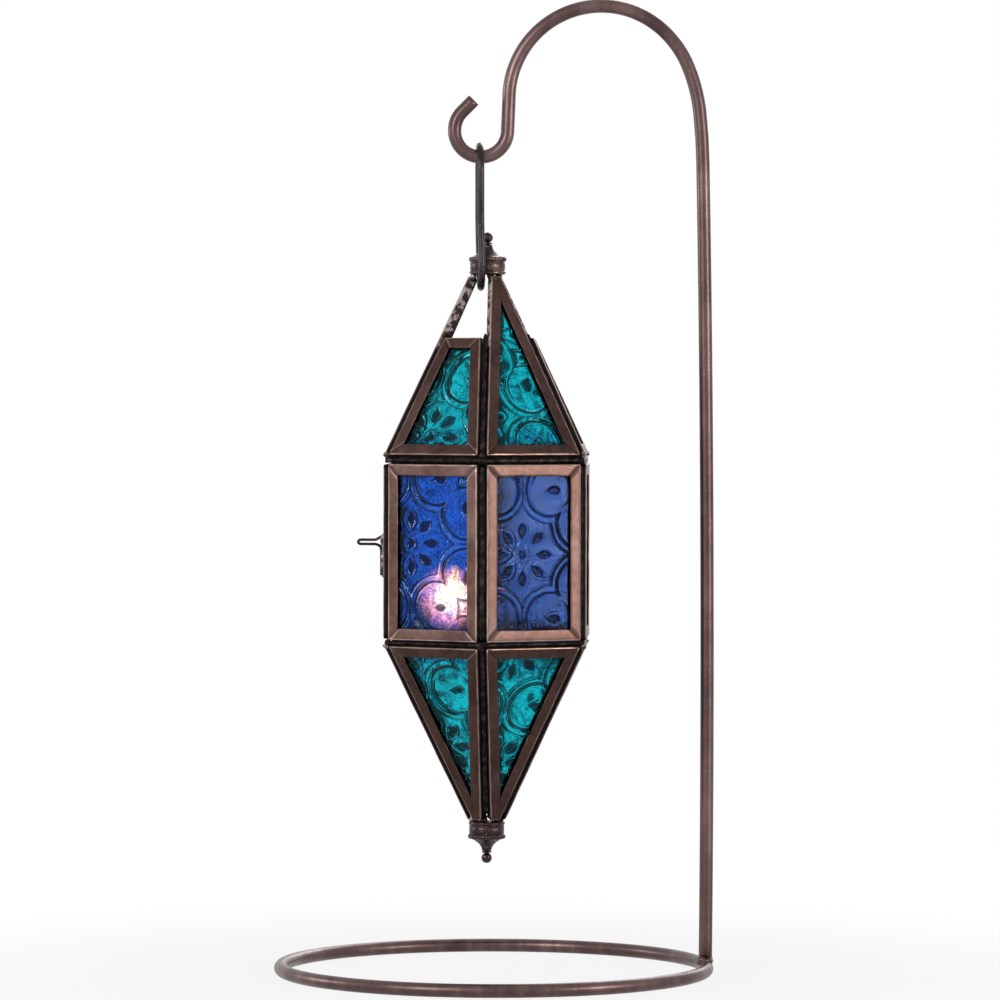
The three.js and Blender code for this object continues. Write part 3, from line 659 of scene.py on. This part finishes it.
def copper(name, dark, warm, bright, rough=0.36):
    f = Finish(name)
    cloud = f.grain(60, 3).ramp(0.3, 0.7)
    mottle = f.grain(420, 4).ramp(0.38, 0.7)
    pit = f.grain(1900, 4).ramp(0.6, 0.72)
    colour = f.blend(cloud * 0.45 + mottle * 0.25, dark, warm)
    toned = f.blend(f.grain(38, 2).ramp(0.38, 0.62), (1.05, 1.0, 1.0), (1.0, 0.84, 0.74))
    colour = colour * toned
    colour = f.blend(pit * 0.4, colour, (0.016, 0.010, 0.009))
    # Worn plating and a painted highlight brighten the folds.
    edge = (f.carried("rubbed_and_highlit") * 1.15 + (f.grain(150, 4) - 0.5) * 1.1).ramp(0.42, 1.0)
    colour = f.blend(edge, colour, bright)
    # Painted shade, along with flux, darkens the channel's hollow and its back.
    shade_and_flux = (f.carried("shaded_and_fluxed") * 1.3 + (f.grain(240, 4) - 0.5) * 0.5).ramp(0.25, 0.95)
    colour = f.blend(shade_and_flux * (0.93 - f.carried("tinned") * 0.6), colour, (0.006, 0.004, 0.004))
    tin = ((f.grain(420, 4) - 0.5) * 2.6 + 0.5).ramp(0.35, 0.75) * f.carried("tinned") * 0.9
    colour = f.blend(tin, colour, (0.36, 0.33, 0.32))
    shine = cloud * 0.08 + pit * 0.2 - edge * 0.06 + shade_and_flux * 0.25 + rough
    relief = f.bump(f.grain(800, 4) + pit * -0.4 + tin * 0.6, 0.04 * mm, 0.6)
    return f.output(f.surface(Base_Color=colour, Metallic=0.9, Roughness=shine, Normal=relief))


# Two copies of one copper: the spire frames' darker one is painted shade, the box frames' paler one painted
# light.
spire_copper_painted_shade = copper("spire_copper_painted_shade", (0.036, 0.020, 0.0175), (0.098, 0.058, 0.052), (0.34, 0.22, 0.18))
box_copper_painted_light = copper("box_copper_painted_light", (0.088, 0.054, 0.048), (0.22, 0.145, 0.13), (0.50, 0.36, 0.31))


def panels():
    """Every panel as (tier, side, bearing, outline, height, tilt)."""
    up, down = lean(upper_height), -lean(lower_height)
    for name, bearing, tall in sides:
        top = upper_height if tall else vent_start
        above, below = body_top + upper_gap, body_floor - lower_gap
        yield "upper", name, bearing, spire_outline(upper_height, top, 1), above, up
        yield "lower", name, bearing, spire_outline(lower_height, lower_height, -1), below, down
        trim = door_clearance if name == "left" else 0
        wide = side_width - 2 * trim
        yield "middle", name, bearing, trapezium(wide, wide, body_height - 2 * trim), body_floor + trim, 0


def node_of(tier, side, what):
    return "door_" + what if (tier, side) == ("middle", "left") else f"{tier}_{what}_{side}"


for number, (tier, side, bearing, outline, height, tilt) in enumerate(panels()):
    node = node_of(tier, side, "frame")
    place = panel_frame(bearing, height, tilt)
    vent = vent_start if tier == "upper" and abs(outline[2][1]) > vent_start * 1.3 else None
    metal = box_copper_painted_light if tier == "middle" else spire_copper_painted_shade
    made = channel_frame("folded_" + node, outline, place, metal, number, vent)
    stand_for(made, node, "door" if node == "door_frame" else "lantern", "copper_channel")


# Panes. Soda glass pressed on a roller with a lattice of quatrefoils and eight-petalled flowers,
# on a stippled ground, cut to shape and slid into the channels. The raised lines are painted pale
# as painted highlight and the sunk ones dark as painted shade, the lips' shade on the glass beside
# them is painted shadow, the foot of each pane is a tangle of dark lines, and one pane has a painted
# glow before the candle.
repeat = 50.4
lobe_radius = 12.0
lobe_offset = 13.2
glass_inner = 0.9 * mm
glass_outer = 2.7 * mm
relief_height = 0.34 * mm
pane_pitch = 0.5 * mm
lip_shadow = 2.2 * mm
curl_band = 9 * mm
painted_glow_reach = 14 * mm
painted_glow_centre = (-17.6 * mm, 0, 152.2 * mm)
pattern_places = {
    ("middle", "front_right"): (20.7, 9.1),
    ("middle", "front_left"): (14.7, 13.4),
    ("upper", "front_right"): (4.0, 42.5),
    ("upper", "front_left"): (21.2, 33.6),
}


def either(operation, on_arrays):
    """A function for sockets or for arrays, because the lattice is worked out on both."""
    def worked_out(first, *others):
        if isinstance(first, Shade):
            return first.sum_of(operation, *others)
        return on_arrays(first, *others)
    return worked_out


larger = either("MAXIMUM", np.maximum)
smaller = either("MINIMUM", np.minimum)
root = either("SQRT", np.sqrt)
angle = either("ARCTAN2", np.arctan2)
wrapped = either("WRAP", lambda a, high, low: (a - low) % (high - low) + low)


def step(a, low, high):
    if isinstance(a, Shade):
        return a.ramp(low, high)
    t = np.clip((a - low) / (high - low), 0, 1)
    return t * t * (3 - 2 * t)


def ridge(distance, half):
    """1 on a line, falling smoothly to 0 at half a width away."""
    return 1 - step(abs(distance), half * 0.3, half)


def petals(x, y, count, middle, length, width, lean=0.35):
    """A ring of drop-shaped petals about a point, as their height over the ground."""
    far = root(x * x + y * y)
    turn = angle(y, x)
    sector = wrapped(turn, math.pi / count, -math.pi / count)
    aside = abs(sector) * far
    along = smaller(larger((far - middle) / length, -2.0), 2.0)
    belly = width * (1 - along * along) * (1 + along * lean)
    return belly - aside


def lattice(u, v):
    """The pressed relief at a place in millimetres: (raised, sunk). The glass paints raised lines pale
    as painted highlight and sunk ones dark as painted shade.
    """
    half = repeat / 2
    x, y = wrapped(u, half, -half), wrapped(v, half, -half)
    ax, ay = abs(x), abs(y)
    big, small = larger(ax, ay), smaller(ax, ay)
    lobe = root((big - lobe_offset) * (big - lobe_offset) + small * small) - lobe_radius
    raised = larger(ridge(lobe + 0.3, 1.1), ridge(lobe + 2.8, 0.5) * 0.6)
    sunk = larger(ridge(lobe - 1.0, 0.55) * 0.8, ridge(lobe + 1.8, 0.85))
    crossbar = ridge(big - half, 0.8) * (1 - step(small, 2.6, 3.6)) * 0.8
    fx, fy = half - ax, half - ay
    flower = petals(fx, fy, 8, 9.2, 3.7, 2.1)
    inner = petals(x, y, 4, 11.8, 3.4, 1.9, -0.35)
    heart = 2.0 - root(fx * fx + fy * fy)
    drops = larger(larger(flower, inner), smaller(heart, 0.9 - abs(heart - 0.9)))
    sunk = larger(larger(sunk, crossbar), step(drops, 0.05, 0.55))
    raised = larger(raised, ridge(drops + 0.35, 0.5) * 0.7)
    return raised, sunk


def pressed_pane(name, outline, place, finish, origin):
    """A pane with its outer face in relief. Its rows run up the panel, narrowing with the outline."""
    edge = inset(outline, channel_sheet + seat_gap)
    low, high = min(p.y for p in edge), max(p.y for p in edge)
    bottom = sorted((p for p in edge if abs(p.y - low) < 1e-7), key=lambda p: p.x)
    top = sorted((p for p in edge if abs(p.y - high) < 1e-7), key=lambda p: p.x)
    rows = max(8, round((high - low) / pane_pitch))
    columns = max(8, round(max(bottom[1].x - bottom[0].x, top[1].x - top[0].x) / pane_pitch))
    t, s = np.linspace(0, 1, rows + 1)[:, None], np.linspace(0, 1, columns + 1)[None, :]
    left = bottom[0].x + (top[0].x - bottom[0].x) * t
    right = bottom[1].x + (top[1].x - bottom[1].x) * t
    x, y = left + (right - left) * s, low + (high - low) * t + 0 * s
    u, v = x / mm - origin[0], y / mm - origin[1]
    raised, sunk = lattice(u, v)
    wave = np.cos(u * 0.31 + origin[1]) * np.cos(v * 0.23 + origin[0])
    z = glass_outer + relief_height * (raised - 0.9 * sunk) + 0.05 * mm * wave
    front = np.stack([x, y, z], 2).reshape(-1, 3)
    n = columns + 1
    rim = [k for k in range(n)] + [r * n + columns for r in range(1, rows + 1)]
    rim += [rows * n + k for k in range(columns - 1, -1, -1)] + [r * n for r in range(rows - 1, 0, -1)]
    back = front[rim] * (1, 1, 0) + (0, 0, glass_inner)
    relief_faces = grid_faces(rows + 1, n, False, False)
    faces = list(relief_faces)
    base = len(front)
    for k in range(len(rim)):
        m = (k + 1) % len(rim)
        faces.append((rim[k], base + k, base + m, rim[m]))
    faces.append(tuple(range(base + len(rim) - 1, base - 1, -1)))
    made = add_object(name, np.concatenate([front, back]), faces, finish)
    flat = made.data.uv_layers.new(name="pattern")
    spots = np.stack([u, v], 2).reshape(-1, 2)
    spots = np.concatenate([spots, spots[rim]])
    loops = np.zeros(len(made.data.loops), int)
    made.data.loops.foreach_get("vertex_index", loops)
    flat.data.foreach_set("uv", (spots[loops] / repeat).ravel())
    from_lip = np.full(x.shape, 1.0)
    for a, b in zip(outline, outline[1:] + outline[:1]):
        run = Vector(b) - Vector(a)
        across = np.abs((x - a[0]) * run.y - (y - a[1]) * run.x) / run.length
        from_lip = np.minimum(from_lip, across - channel_lip)
    shadow = np.clip(1 - from_lip / lip_shadow, 0, 1).ravel()
    layer = made.data.attributes.new("lip_shadow", "FLOAT", "POINT")
    layer.data.foreach_set("value", np.concatenate([shadow, 0 * shadow[rim]]))
    low_band = np.clip(1 - (np.abs(y) - channel_lip) / curl_band, 0, 1).ravel()
    layer = made.data.attributes.new("low_band", "FLOAT", "POINT")
    layer.data.foreach_set("value", np.concatenate([low_band, 0 * low_band[rim]]))
    for polygon in made.data.polygons[len(relief_faces):]:
        polygon.use_smooth = False
    outward(made)
    made.data.transform(place)
    return made


def pressed_glass(name, clear, deep, painted_highlight_colour, mirrored, ripple, specks, curls, painted_glow=0.0):
    """Coloured glass with a painted highlight on the lines that the roller raised, painted shade where
    it sank them and in stipple specks, and painted glints.
    A pane given a painted glow glows there as painted light, where stippled glass close in front of a
    flame would shine."""
    f = Finish(name)
    spot = f.node("ShaderNodeUVMap", {"uv_map": "pattern"})
    u = f.node("ShaderNodeSeparateXYZ", {}, {"Vector": spot}, "X") * repeat
    v = f.node("ShaderNodeSeparateXYZ", {}, {"Vector": spot}, "Y") * repeat
    wobble = (f.grain(260, 3) - 0.5) * 0.7
    raised, sunk = lattice(u + wobble, v - wobble)
    stipple = f.grain(1100, 3)
    cloud = f.grain(90, 3)
    # Dark stipple specks are painted shade.
    painted_speck_shade = stipple.ramp(0.52, 0.60) * specks * (1 - raised * 0.6)
    edge = (f.carried("lip_shadow") + (f.grain(420, 3) - 0.5) * 0.9).ramp(0.35, 1.0) * 0.85
    low_band = f.carried("low_band")
    curl = 1 - abs(f.grain(250, 3) - 0.5).ramp(0.012, 0.045)
    curl = curl * (cloud.ramp(0.46, 0.58) * 0.75).larger(low_band.ramp(0, 0.4)) * curls
    # The dark share holds painted shade on the sunk lines and specks and the lips' painted shadow, plus the
    # tangle of dark lines at the foot and a faint random cloud.
    dark = (sunk * 0.94).larger(painted_speck_shade).larger(edge).larger(curl) + cloud.ramp(0.5, 0.75) * 0.08
    # The glints and the pale raised lines are painted highlight.
    painted_glint = f.grain(760, 3).ramp(0.55, 0.66) * specks * 0.6
    colour = f.blend((raised * 0.55).larger(painted_glint), clear, painted_highlight_colour)
    # The glass turns a deeper blue in patches towards each pane's foot.
    foot_blue_band = low_band.ramp(0, 0.5) * f.grain(310, 2).ramp(0.48, 0.6) * curls
    colour = f.blend(foot_blue_band * 0.8, colour, (0.012, 0.07, 0.42))
    colour = f.blend(dark.smaller(1.0), colour, deep)
    rough = stipple.ramp(0.35, 0.65) * 0.06 + 0.02
    relief = f.bump(stipple * 0.6 + f.grain(480, 2) * 0.8, 0.26 * mm, ripple)
    inputs = {"Transmission_Weight": 0.99, "IOR": 1.45}
    inputs.update({"Specular_IOR_Level": 0.1, "Specular_Tint": mirrored})
    # A painted glow: light painted as emission round a fixed place on the pane.
    if painted_glow:
        away = (f.place() - painted_glow_centre) * (1, 0, 1)
        far = f.node("ShaderNodeVectorMath", {"operation": "LENGTH"}, {0: away}, "Value")
        broken = f.grain(430, 3).ramp(0.40, 0.60, 0.45, 1.2) * stipple.ramp(0.35, 0.6, 1.15, 0.6)
        glow = far.ramp(3 * mm, painted_glow_reach, painted_glow, 0) * (1 - sunk * 0.8) * broken
        painted_glow_colour = f.blend(far.ramp(2 * mm, 10 * mm), (1.0, 0.66, 0.46), (0.95, 0.27, 0.26))
        inputs["Emission_Color"] = f.blend(glow.smaller(1.0), (0.0, 0.0, 0.0), painted_glow_colour)
        inputs["Emission_Strength"] = 1.8
    return f.output(f.surface(Base_Color=colour, Roughness=rough, Normal=relief, **inputs))


teal = ((0.03, 0.72, 0.79), (0.0, 0.010, 0.024), (0.10, 0.92, 1.0), (0.06, 0.4, 0.46))
cobalt = ((0.10, 0.34, 0.88), (0.002, 0.008, 0.07), (0.30, 0.56, 1.0), (0.2, 0.3, 0.5))
# The front-right box pane is the same cobalt glass, made paler and greyer as a painted reflection of the
# room's light.
cobalt_with_painted_sheen = ((0.42, 0.39, 0.56), (0.006, 0.012, 0.07), (0.52, 0.55, 0.70), (0.07, 0.1, 0.2))
teal_glass = pressed_glass("teal_glass", *teal, ripple=0.2, specks=0.3, curls=0.95)
cobalt_glass = pressed_glass("cobalt_glass", *cobalt, ripple=0.4, specks=0.75, curls=0.4)
candle_glow_painted_glass = pressed_glass("candle_glow_painted_glass", *cobalt, ripple=0.4, specks=0.75, curls=0.4, painted_glow=0.9)
cobalt_glass_with_painted_sheen = pressed_glass("cobalt_glass_with_painted_sheen", *cobalt_with_painted_sheen, ripple=0.35, specks=0.6, curls=0)
box_glasses = {"front_left": candle_glow_painted_glass, "front_right": cobalt_glass_with_painted_sheen}
for number, (tier, side, bearing, outline, height, tilt) in enumerate(panels()):
    node = node_of(tier, side, "pane")
    origin = pattern_places.get((tier, side), (number * 17.3 % repeat, number * 31.1 % repeat))
    glass = box_glasses.get(side, cobalt_glass) if tier == "middle" else teal_glass
    made = pressed_pane("pressed_" + node, outline, panel_frame(bearing, height, tilt), glass, origin)
    slot = "cobalt_glass" if tier == "middle" else "teal_glass"
    stand_for(made, node, "door" if node == "door_pane" else "lantern", slot)


# Chamber floor. A hexagon of the same plated sheet, sooted by candles, lies on the lower channels.
floor_copper = copper("floor_copper", (0.030, 0.016, 0.011), (0.080, 0.043, 0.030), (0.2, 0.12, 0.08), 0.45)


def refinished(node, finish):
    """A CAD node that stays as it is, with a finish of its own."""
    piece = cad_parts[node]
    piece.data.materials.clear()
    piece.data.materials.append(finish)
    return piece


refinished("floor_plate", floor_copper)


# Solder. Tin-lead runs fill the grooves between the channels, painted near-black as painted shade,
# and stand up in a bright drop at each corner of the box.
solder_depth = 2.6 * mm
drop_radius = 1.2 * mm
drop_reach = 3.2 * mm
ring_inside = 1.2 * mm
ring_outside = 3 * mm
tip_reach = 5.9 * mm
tip_lump = Vector((1.25, 1.25, 1.5)) * mm
seam_end = 0.6 * mm


def tin_solder(name, bright, dark, amount):
    f = Finish(name)
    flux = f.grain(380, 4).ramp(amount - 0.16, amount + 0.16)
    colour = f.blend(flux, bright, dark)
    shine = flux * 0.25 + 0.26
    relief = f.bump(f.grain(800, 3), 0.08 * mm, 0.8)
    return f.output(f.surface(Base_Color=colour, Metallic=0.9, Roughness=shine, Normal=relief))


drop_solder = tin_solder("drop_solder", (0.36, 0.32, 0.31), (0.028, 0.020, 0.018), 0.5)
# This solder's near-black is painted shade, where the grooves and joints lie in shadow.
solder_in_painted_shade = tin_solder("solder_in_painted_shade", (0.045, 0.032, 0.029), (0.006, 0.004, 0.004), 0.40)


def corner(bearing, width, height):
    turn = math.radians(bearing)
    return Vector((width * math.sin(turn), -width * math.cos(turn), height))


def panel_normal(bearing, tilt):
    turn = math.radians(bearing)
    flat = Vector((math.sin(turn), -math.cos(turn), 0)) * math.cos(tilt)
    return flat + Vector((0, 0, math.sin(tilt)))


def seam(start, end, left, right, seed):
    """A run of solder lying in the groove between two panels, as rows of points."""
    middle = (left + right).normalized()
    half = left.angle(right) / 2
    across = (left - right).normalized()
    deep = solder_depth * math.cos(half) + seat_gap * math.sin(half)
    wide = solder_depth * math.sin(half) - seat_gap * math.cos(half)
    steps = max(3, round((end - start).length / (1.2 * mm)))
    rows = []
    for s in range(steps + 1):
        here = start.lerp(end, s / steps)
        swell = 1 + 0.16 * noise.noise(here * 420 + Vector((seed, 0, 0)))
        ends = min(1, 0.35 + min(s, steps - s) / 2.5)
        row = [here + middle * (0.7 * mm)]
        for k in np.linspace(-1, 1, 7):
            sag = (1 - k * k) * 0.35 * mm
            up = middle * ((deep - 0.2 * mm - sag) * swell)
            row.append(here + up + across * (wide * 0.97 * k * ends))
        rows.append(row)
    return rows


def merged(name, made):
    """Joins several meshes into the first, under one name."""
    with bpy.context.temp_override(active_object=made[0], selected_editable_objects=made):
        bpy.ops.object.join()
    made[0].name = name
    return made[0]


def seam_object(name, rows, finish):
    points = [p for row in rows for p in row]
    width = len(rows[0])
    faces = grid_faces(len(rows), width, False, True)
    faces += [tuple(range(width)), tuple((len(rows) - 1) * width + k for k in range(width))]
    return outward(add_object(name, points, faces, finish))


def joint_ring(name, edge, up, gap, tilt):
    """The run of solder that fills the joint between the box and a spire, all round."""
    rise = gap + ring_outside * math.tan(tilt) - seat_gap
    section = [(ring_inside, seat_gap), (ring_outside, seat_gap), (ring_outside, rise)]
    rows = []
    for k in range(6):
        for s in range(12):
            here = corner(k * 60, side_width, 0).lerp(corner(k * 60 + 60, side_width, 0), s / 12)
            along = here / inner_apothem
            swell = 1 + 0.07 * noise.noise(here * 160 + Vector((up, 0, 0)))
            spots = [(along * out * swell, Vector((0, 0, edge + up * z))) for out, z in section]
            rows.append([here + aside + lifted for aside, lifted in spots])
    points = [p for row in rows for p in row]
    return outward(add_object(name, points, grid_faces(len(rows), 3, True, True), solder_in_painted_shade))


def spire_solder(name, edge, up, gap, height, share):
    tilt = lean(height)
    foot = edge + up * gap
    made = [joint_ring(name, edge, up, gap, tilt)]
    for k in range(6):
        bearing = k * 60
        left, right = panel_normal(bearing - 30, up * tilt), panel_normal(bearing + 30, up * tilt)
        start = corner(bearing, side_width, foot)
        width = side_width + (tip_width - side_width) * share
        end = corner(bearing, width, foot + up * height * share)
        made.append(seam_object(f"{name}_{k}", seam(start, end, left, right, k), solder_in_painted_shade))
        out = start + (left + right).normalized() * drop_reach
        half = Vector((drop_radius, drop_radius, drop_radius * (1.0 + 0.25 * math.sin(k * 2.3))))
        metal = solder_in_painted_shade if k == 0 else drop_solder
        made.append(lump(f"{name}_drop_{k}", out, half, metal, 0.5, k * 1.9 + up, 3))
    for piece in made:
        piece.data.transform(lantern_frame())
    return merged(name, made)


def tip_solder(name, base, up):
    """Lumps of solder that hold the tips of the tall panels to the rim of a cap."""
    made = []
    for k, bearing in enumerate((30, 150, 270) if up > 0 else (-30, 30, 90, 150, 210, 270)):
        for side in (-1, 1):
            turn = math.radians(bearing + side * 17)
            spot = Vector((tip_reach * math.sin(turn), -tip_reach * math.cos(turn), base - up * 0.9 * mm))
            seed = k * 2.7 + side
            metal = drop_solder if (k + side) % 3 == 0 else solder_in_painted_shade
            made.append(lump(f"{name}_{k}_{side}", spot, tip_lump, metal, 0.5, seed, 3))
            made[-1].data.transform(lantern_frame())
    return made


vent_share = (vent_start + 2 * mm) / upper_height
upper = spire_solder("upper_seams", body_top, 1, upper_gap, upper_height, vent_share)
lower = spire_solder("lower_seams", body_floor, -1, lower_gap, lower_height, 0.97)
upper = merged("upper_seams", [upper] + tip_solder("top_tip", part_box("top_cap")[0].z, 1))
lower = merged("lower_seams", [lower] + tip_solder("bottom_tip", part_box("bottom_cap")[1].z, -1))
for made, node in ((upper, "solder_upper"), (lower, "solder_lower")):
    stand_for(made, node, "lantern", "solder")
for k, bearing in enumerate((0, 60, 120, 180)):
    start = corner(bearing, side_width, body_floor + seam_end)
    end = corner(bearing, side_width, body_top - seam_end)
    run = seam(start, end, panel_normal(bearing - 30, 0), panel_normal(bearing + 30, 0), 9 + k)
    made = seam_object(f"box_seam_{k + 1}", run, solder_in_painted_shade)
    made.data.transform(lantern_frame())
    stand_for(made, f"solder_post_{k + 1}", "lantern", "solder")


# Door furniture. Rolled knuckles and a pin at the rear edge, and at the front edge a hairpin of
# tinned wire, whose lower end is flattened down the channel under solder.
hinge_softness = 0.15 * mm
hinge_bronze = bronze("hinge_bronze", (0.034, 0.019, 0.015), (0.11, 0.062, 0.048), 0.38)
for node in ("hinge_knuckle_top", "hinge_knuckle_bottom", "hinge_knuckle_door", "hinge_pin"):
    soften = refinished(node, hinge_bronze).modifiers.new("softened", "BEVEL")
    soften.width = hinge_softness
    soften.segments = 2

pull_wire = 0.55 * mm
pull_reach = 10.8 * mm
pull_spread = 1.7 * mm
pull_raise = 3.8 * mm
pull_tail = 10.5 * mm
pull_inset = 2.3 * mm


def pull_path():
    off = channel_depth + seat_gap + pull_wire
    half = pull_spread / 2
    tip = channel_depth + pull_reach - pull_wire
    knots = [(2.2 * mm, off), (1.5 * mm, off + 1.1 * mm), (half, off + 2.2 * mm), (half, tip - half)]
    for a in np.radians((60, 30, 0, -30, -60)):
        knots.append((half * math.sin(a), tip - half + half * math.cos(a)))
    knots += [(-half, tip - half), (-half, off + 2.2 * mm), (-1.5 * mm, off + 0.6 * mm)]
    knots += [(-2.8 * mm, off), (-2.8 * mm - pull_tail, off)]
    path = []
    for (y0, z0), (y1, z1) in zip(knots, knots[1:]):
        count = max(1, round(math.hypot(y1 - y0, z1 - z0) / (0.35 * mm)))
        path += [(0, y0 + (y1 - y0) * k / count, z0 + (z1 - z0) * k / count) for k in range(count)]
    path.append((0, *knots[-1]))
    for _ in range(3):
        path[1:-1] = [tuple((np.array(a) + 2 * np.array(b) + np.array(c)) / 4)
                      for a, b, c in zip(path, path[1:], path[2:])]
    return path


door_place = panel_frame(-90, body_floor + body_height / 2 + pull_raise, 0)
wire = tube("pull_wire", pull_path(), pull_wire, (1, 0, 0), link_bronze, 16)
blob_height = channel_depth + 0.35 * mm
tail_place, tail_half = Vector((0, -8 * mm, blob_height)), Vector((1.3, 6.2, 0.75)) * mm
head_place, head_half = Vector((0, 0.4 * mm, blob_height)), Vector((1.2, 2.6, 0.9)) * mm
tail = lump("pull_solder", tail_place, tail_half, drop_solder, 0.3, 5.5)
head = lump("pull_head", head_place, head_half, drop_solder, 0.35, 7.7)
pull = merged("door_wire_pull", [wire, tail, head])
pull.data.transform(door_place @ Matrix.Translation((side_width / 2 - door_clearance - pull_inset, 0, 0)))
stand_for(pull, "door_pull", "door", "solder")


# Tealight. A pressed foil cup with a rolled rim, white wax that has melted into a pool round a
# burnt cotton wick, the flame, and over it a small lamp for the light that it gives.
tealight_low, tealight_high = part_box("tealight_tin")
tealight_middle = (tealight_low + tealight_high) / 2
tealight_place = Vector((tealight_middle.x, tealight_middle.y, tealight_low.z))
wax_pool = (144.3 * mm, 145.2 * mm)
flame_watts = 0.3
flame_colour = (1.0, 0.36, 0.14)
flame_height = 17 * mm
flame_width = 5.4 * mm
flame_foot = tealight_place.z + 12.4 * mm


def tin_profile():
    points = in_mm((0.05, 0.3), (14, 0.3), (16, 0), (18, 0), (18.6, 0.6))
    points += in_mm(*[(18.55, z, 0.10) for z in (1.2, 4, 7, 10, 13)])
    points += in_mm((18.6, 14)) + rounded(18.5 * mm, 14.1 * mm, 15 * mm, 0.5 * mm)
    return points + in_mm((18.2, 14.8), (18.2, 0.8), (0.05, 0.8))


def wax_profile():
    points = in_mm((0.05, 1.1), (17.9, 1.1), (17.9, 13.2), (17.2, 13.1), (15.5, 12.9), (13.8, 12.1))
    return points + in_mm((12.5, 11.8), (6, 11.7), (1.4, 11.8), (1.0, 12.2), (0.05, 12.3))


def foil():
    f = Finish("tealight_foil")
    crease = f.grain(260, 3)
    relief = f.bump(crease, 0.2 * mm, 0.5)
    shine = crease * 0.2 + 0.18
    silver = (0.78, 0.79, 0.80)
    return f.output(f.surface(Base_Color=silver, Metallic=1.0, Roughness=shine, Normal=relief))


def candle_wax():
    f = Finish("candle_wax")
    height = f.node("ShaderNodeSeparateXYZ", {}, {"Vector": f.place()}, "Z")
    molten = 1 - height.ramp(*wax_pool)
    colour = f.blend(molten * 0.6 + f.grain(120, 2) * 0.1, (0.86, 0.82, 0.74), (0.80, 0.66, 0.50))
    shine = 0.5 - molten * 0.38
    depth = {"Subsurface_Weight": 0.35, "Subsurface_Scale": 6 * mm}
    return f.output(f.surface(Base_Color=colour, Roughness=shine, **depth))


def burnt_cotton():
    f = Finish("burnt_cotton")
    twist = f.grain(1300, 3, (1, 1, 0.5))
    colour = f.blend(twist.ramp(0.4, 0.7), (0.010, 0.008, 0.007), (0.07, 0.05, 0.04))
    return f.output(f.surface(Base_Color=colour, Roughness=0.9, Normal=f.bump(twist, 0.15 * mm)))


def flame_light():
    f = Finish("flame")
    height = f.node("ShaderNodeSeparateXYZ", {}, {"Vector": f.place()}, "Z")
    rise = height.ramp(flame_foot, flame_foot + flame_height)
    colour = f.blend(rise, (1.0, 0.29, 0.065), (1.0, 0.20, 0.04))
    return f.output(f.node("ShaderNodeEmission", {}, {"Color": colour, "Strength": 11.0}))


cup = lathe("foil_cup", tin_profile(), foil(), 180, 60)
wax = lathe("wax_pool", wax_profile(), candle_wax(), 96)
wick_path = [(0.25 * mm * math.sin(t * 2.2) * t, 0, (10 + 8.6 * t) * mm) for t in np.linspace(0, 1, 14)]
wick_path = [(x + 0.9 * mm * max(0, (z / mm - 15) / 3.6) ** 2, y, z) for x, y, z in wick_path]
wick = tube("cotton_wick", wick_path, 0.65 * mm, (0, 1, 0), burnt_cotton(), 14)
flame_outline = [(0.02 * mm, 0)]
for t in np.linspace(0.03, 0.99, 26):
    belly = math.sin(math.pi * t ** 0.62) ** 0.85 * (1 - 0.35 * t)
    flame_outline.append((flame_width * belly + 0.02 * mm, flame_height * t))
flame = lathe("candle_flame", flame_outline, flame_light(), 40)
parts = [(cup, "tealight_tin", "tealight_tin"), (wax, "tealight_wax", "wax")]
for made, node, slot in parts + [(wick, "tealight_wick", "wick")]:
    made.data.transform(Matrix.Translation(tealight_place))
    stand_for(made, node, "tealight", slot)
flame.data.transform(Matrix.Translation((tealight_place.x, tealight_place.y, flame_foot)))
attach(flame, "tealight")

glow = bpy.data.lights.new("flame_glow", "POINT")
glow.energy = flame_watts
glow.color = flame_colour
glow.shadow_soft_size = 3 * mm
glow_holder = bpy.data.objects.new("flame_glow", glow)
bpy.context.scene.collection.objects.link(glow_holder)
glow_holder.visible_transmission = False
glow_holder.visible_glossy = False
glow_holder.location = (tealight_place.x, tealight_place.y, flame_foot + flame_height * 1.25)
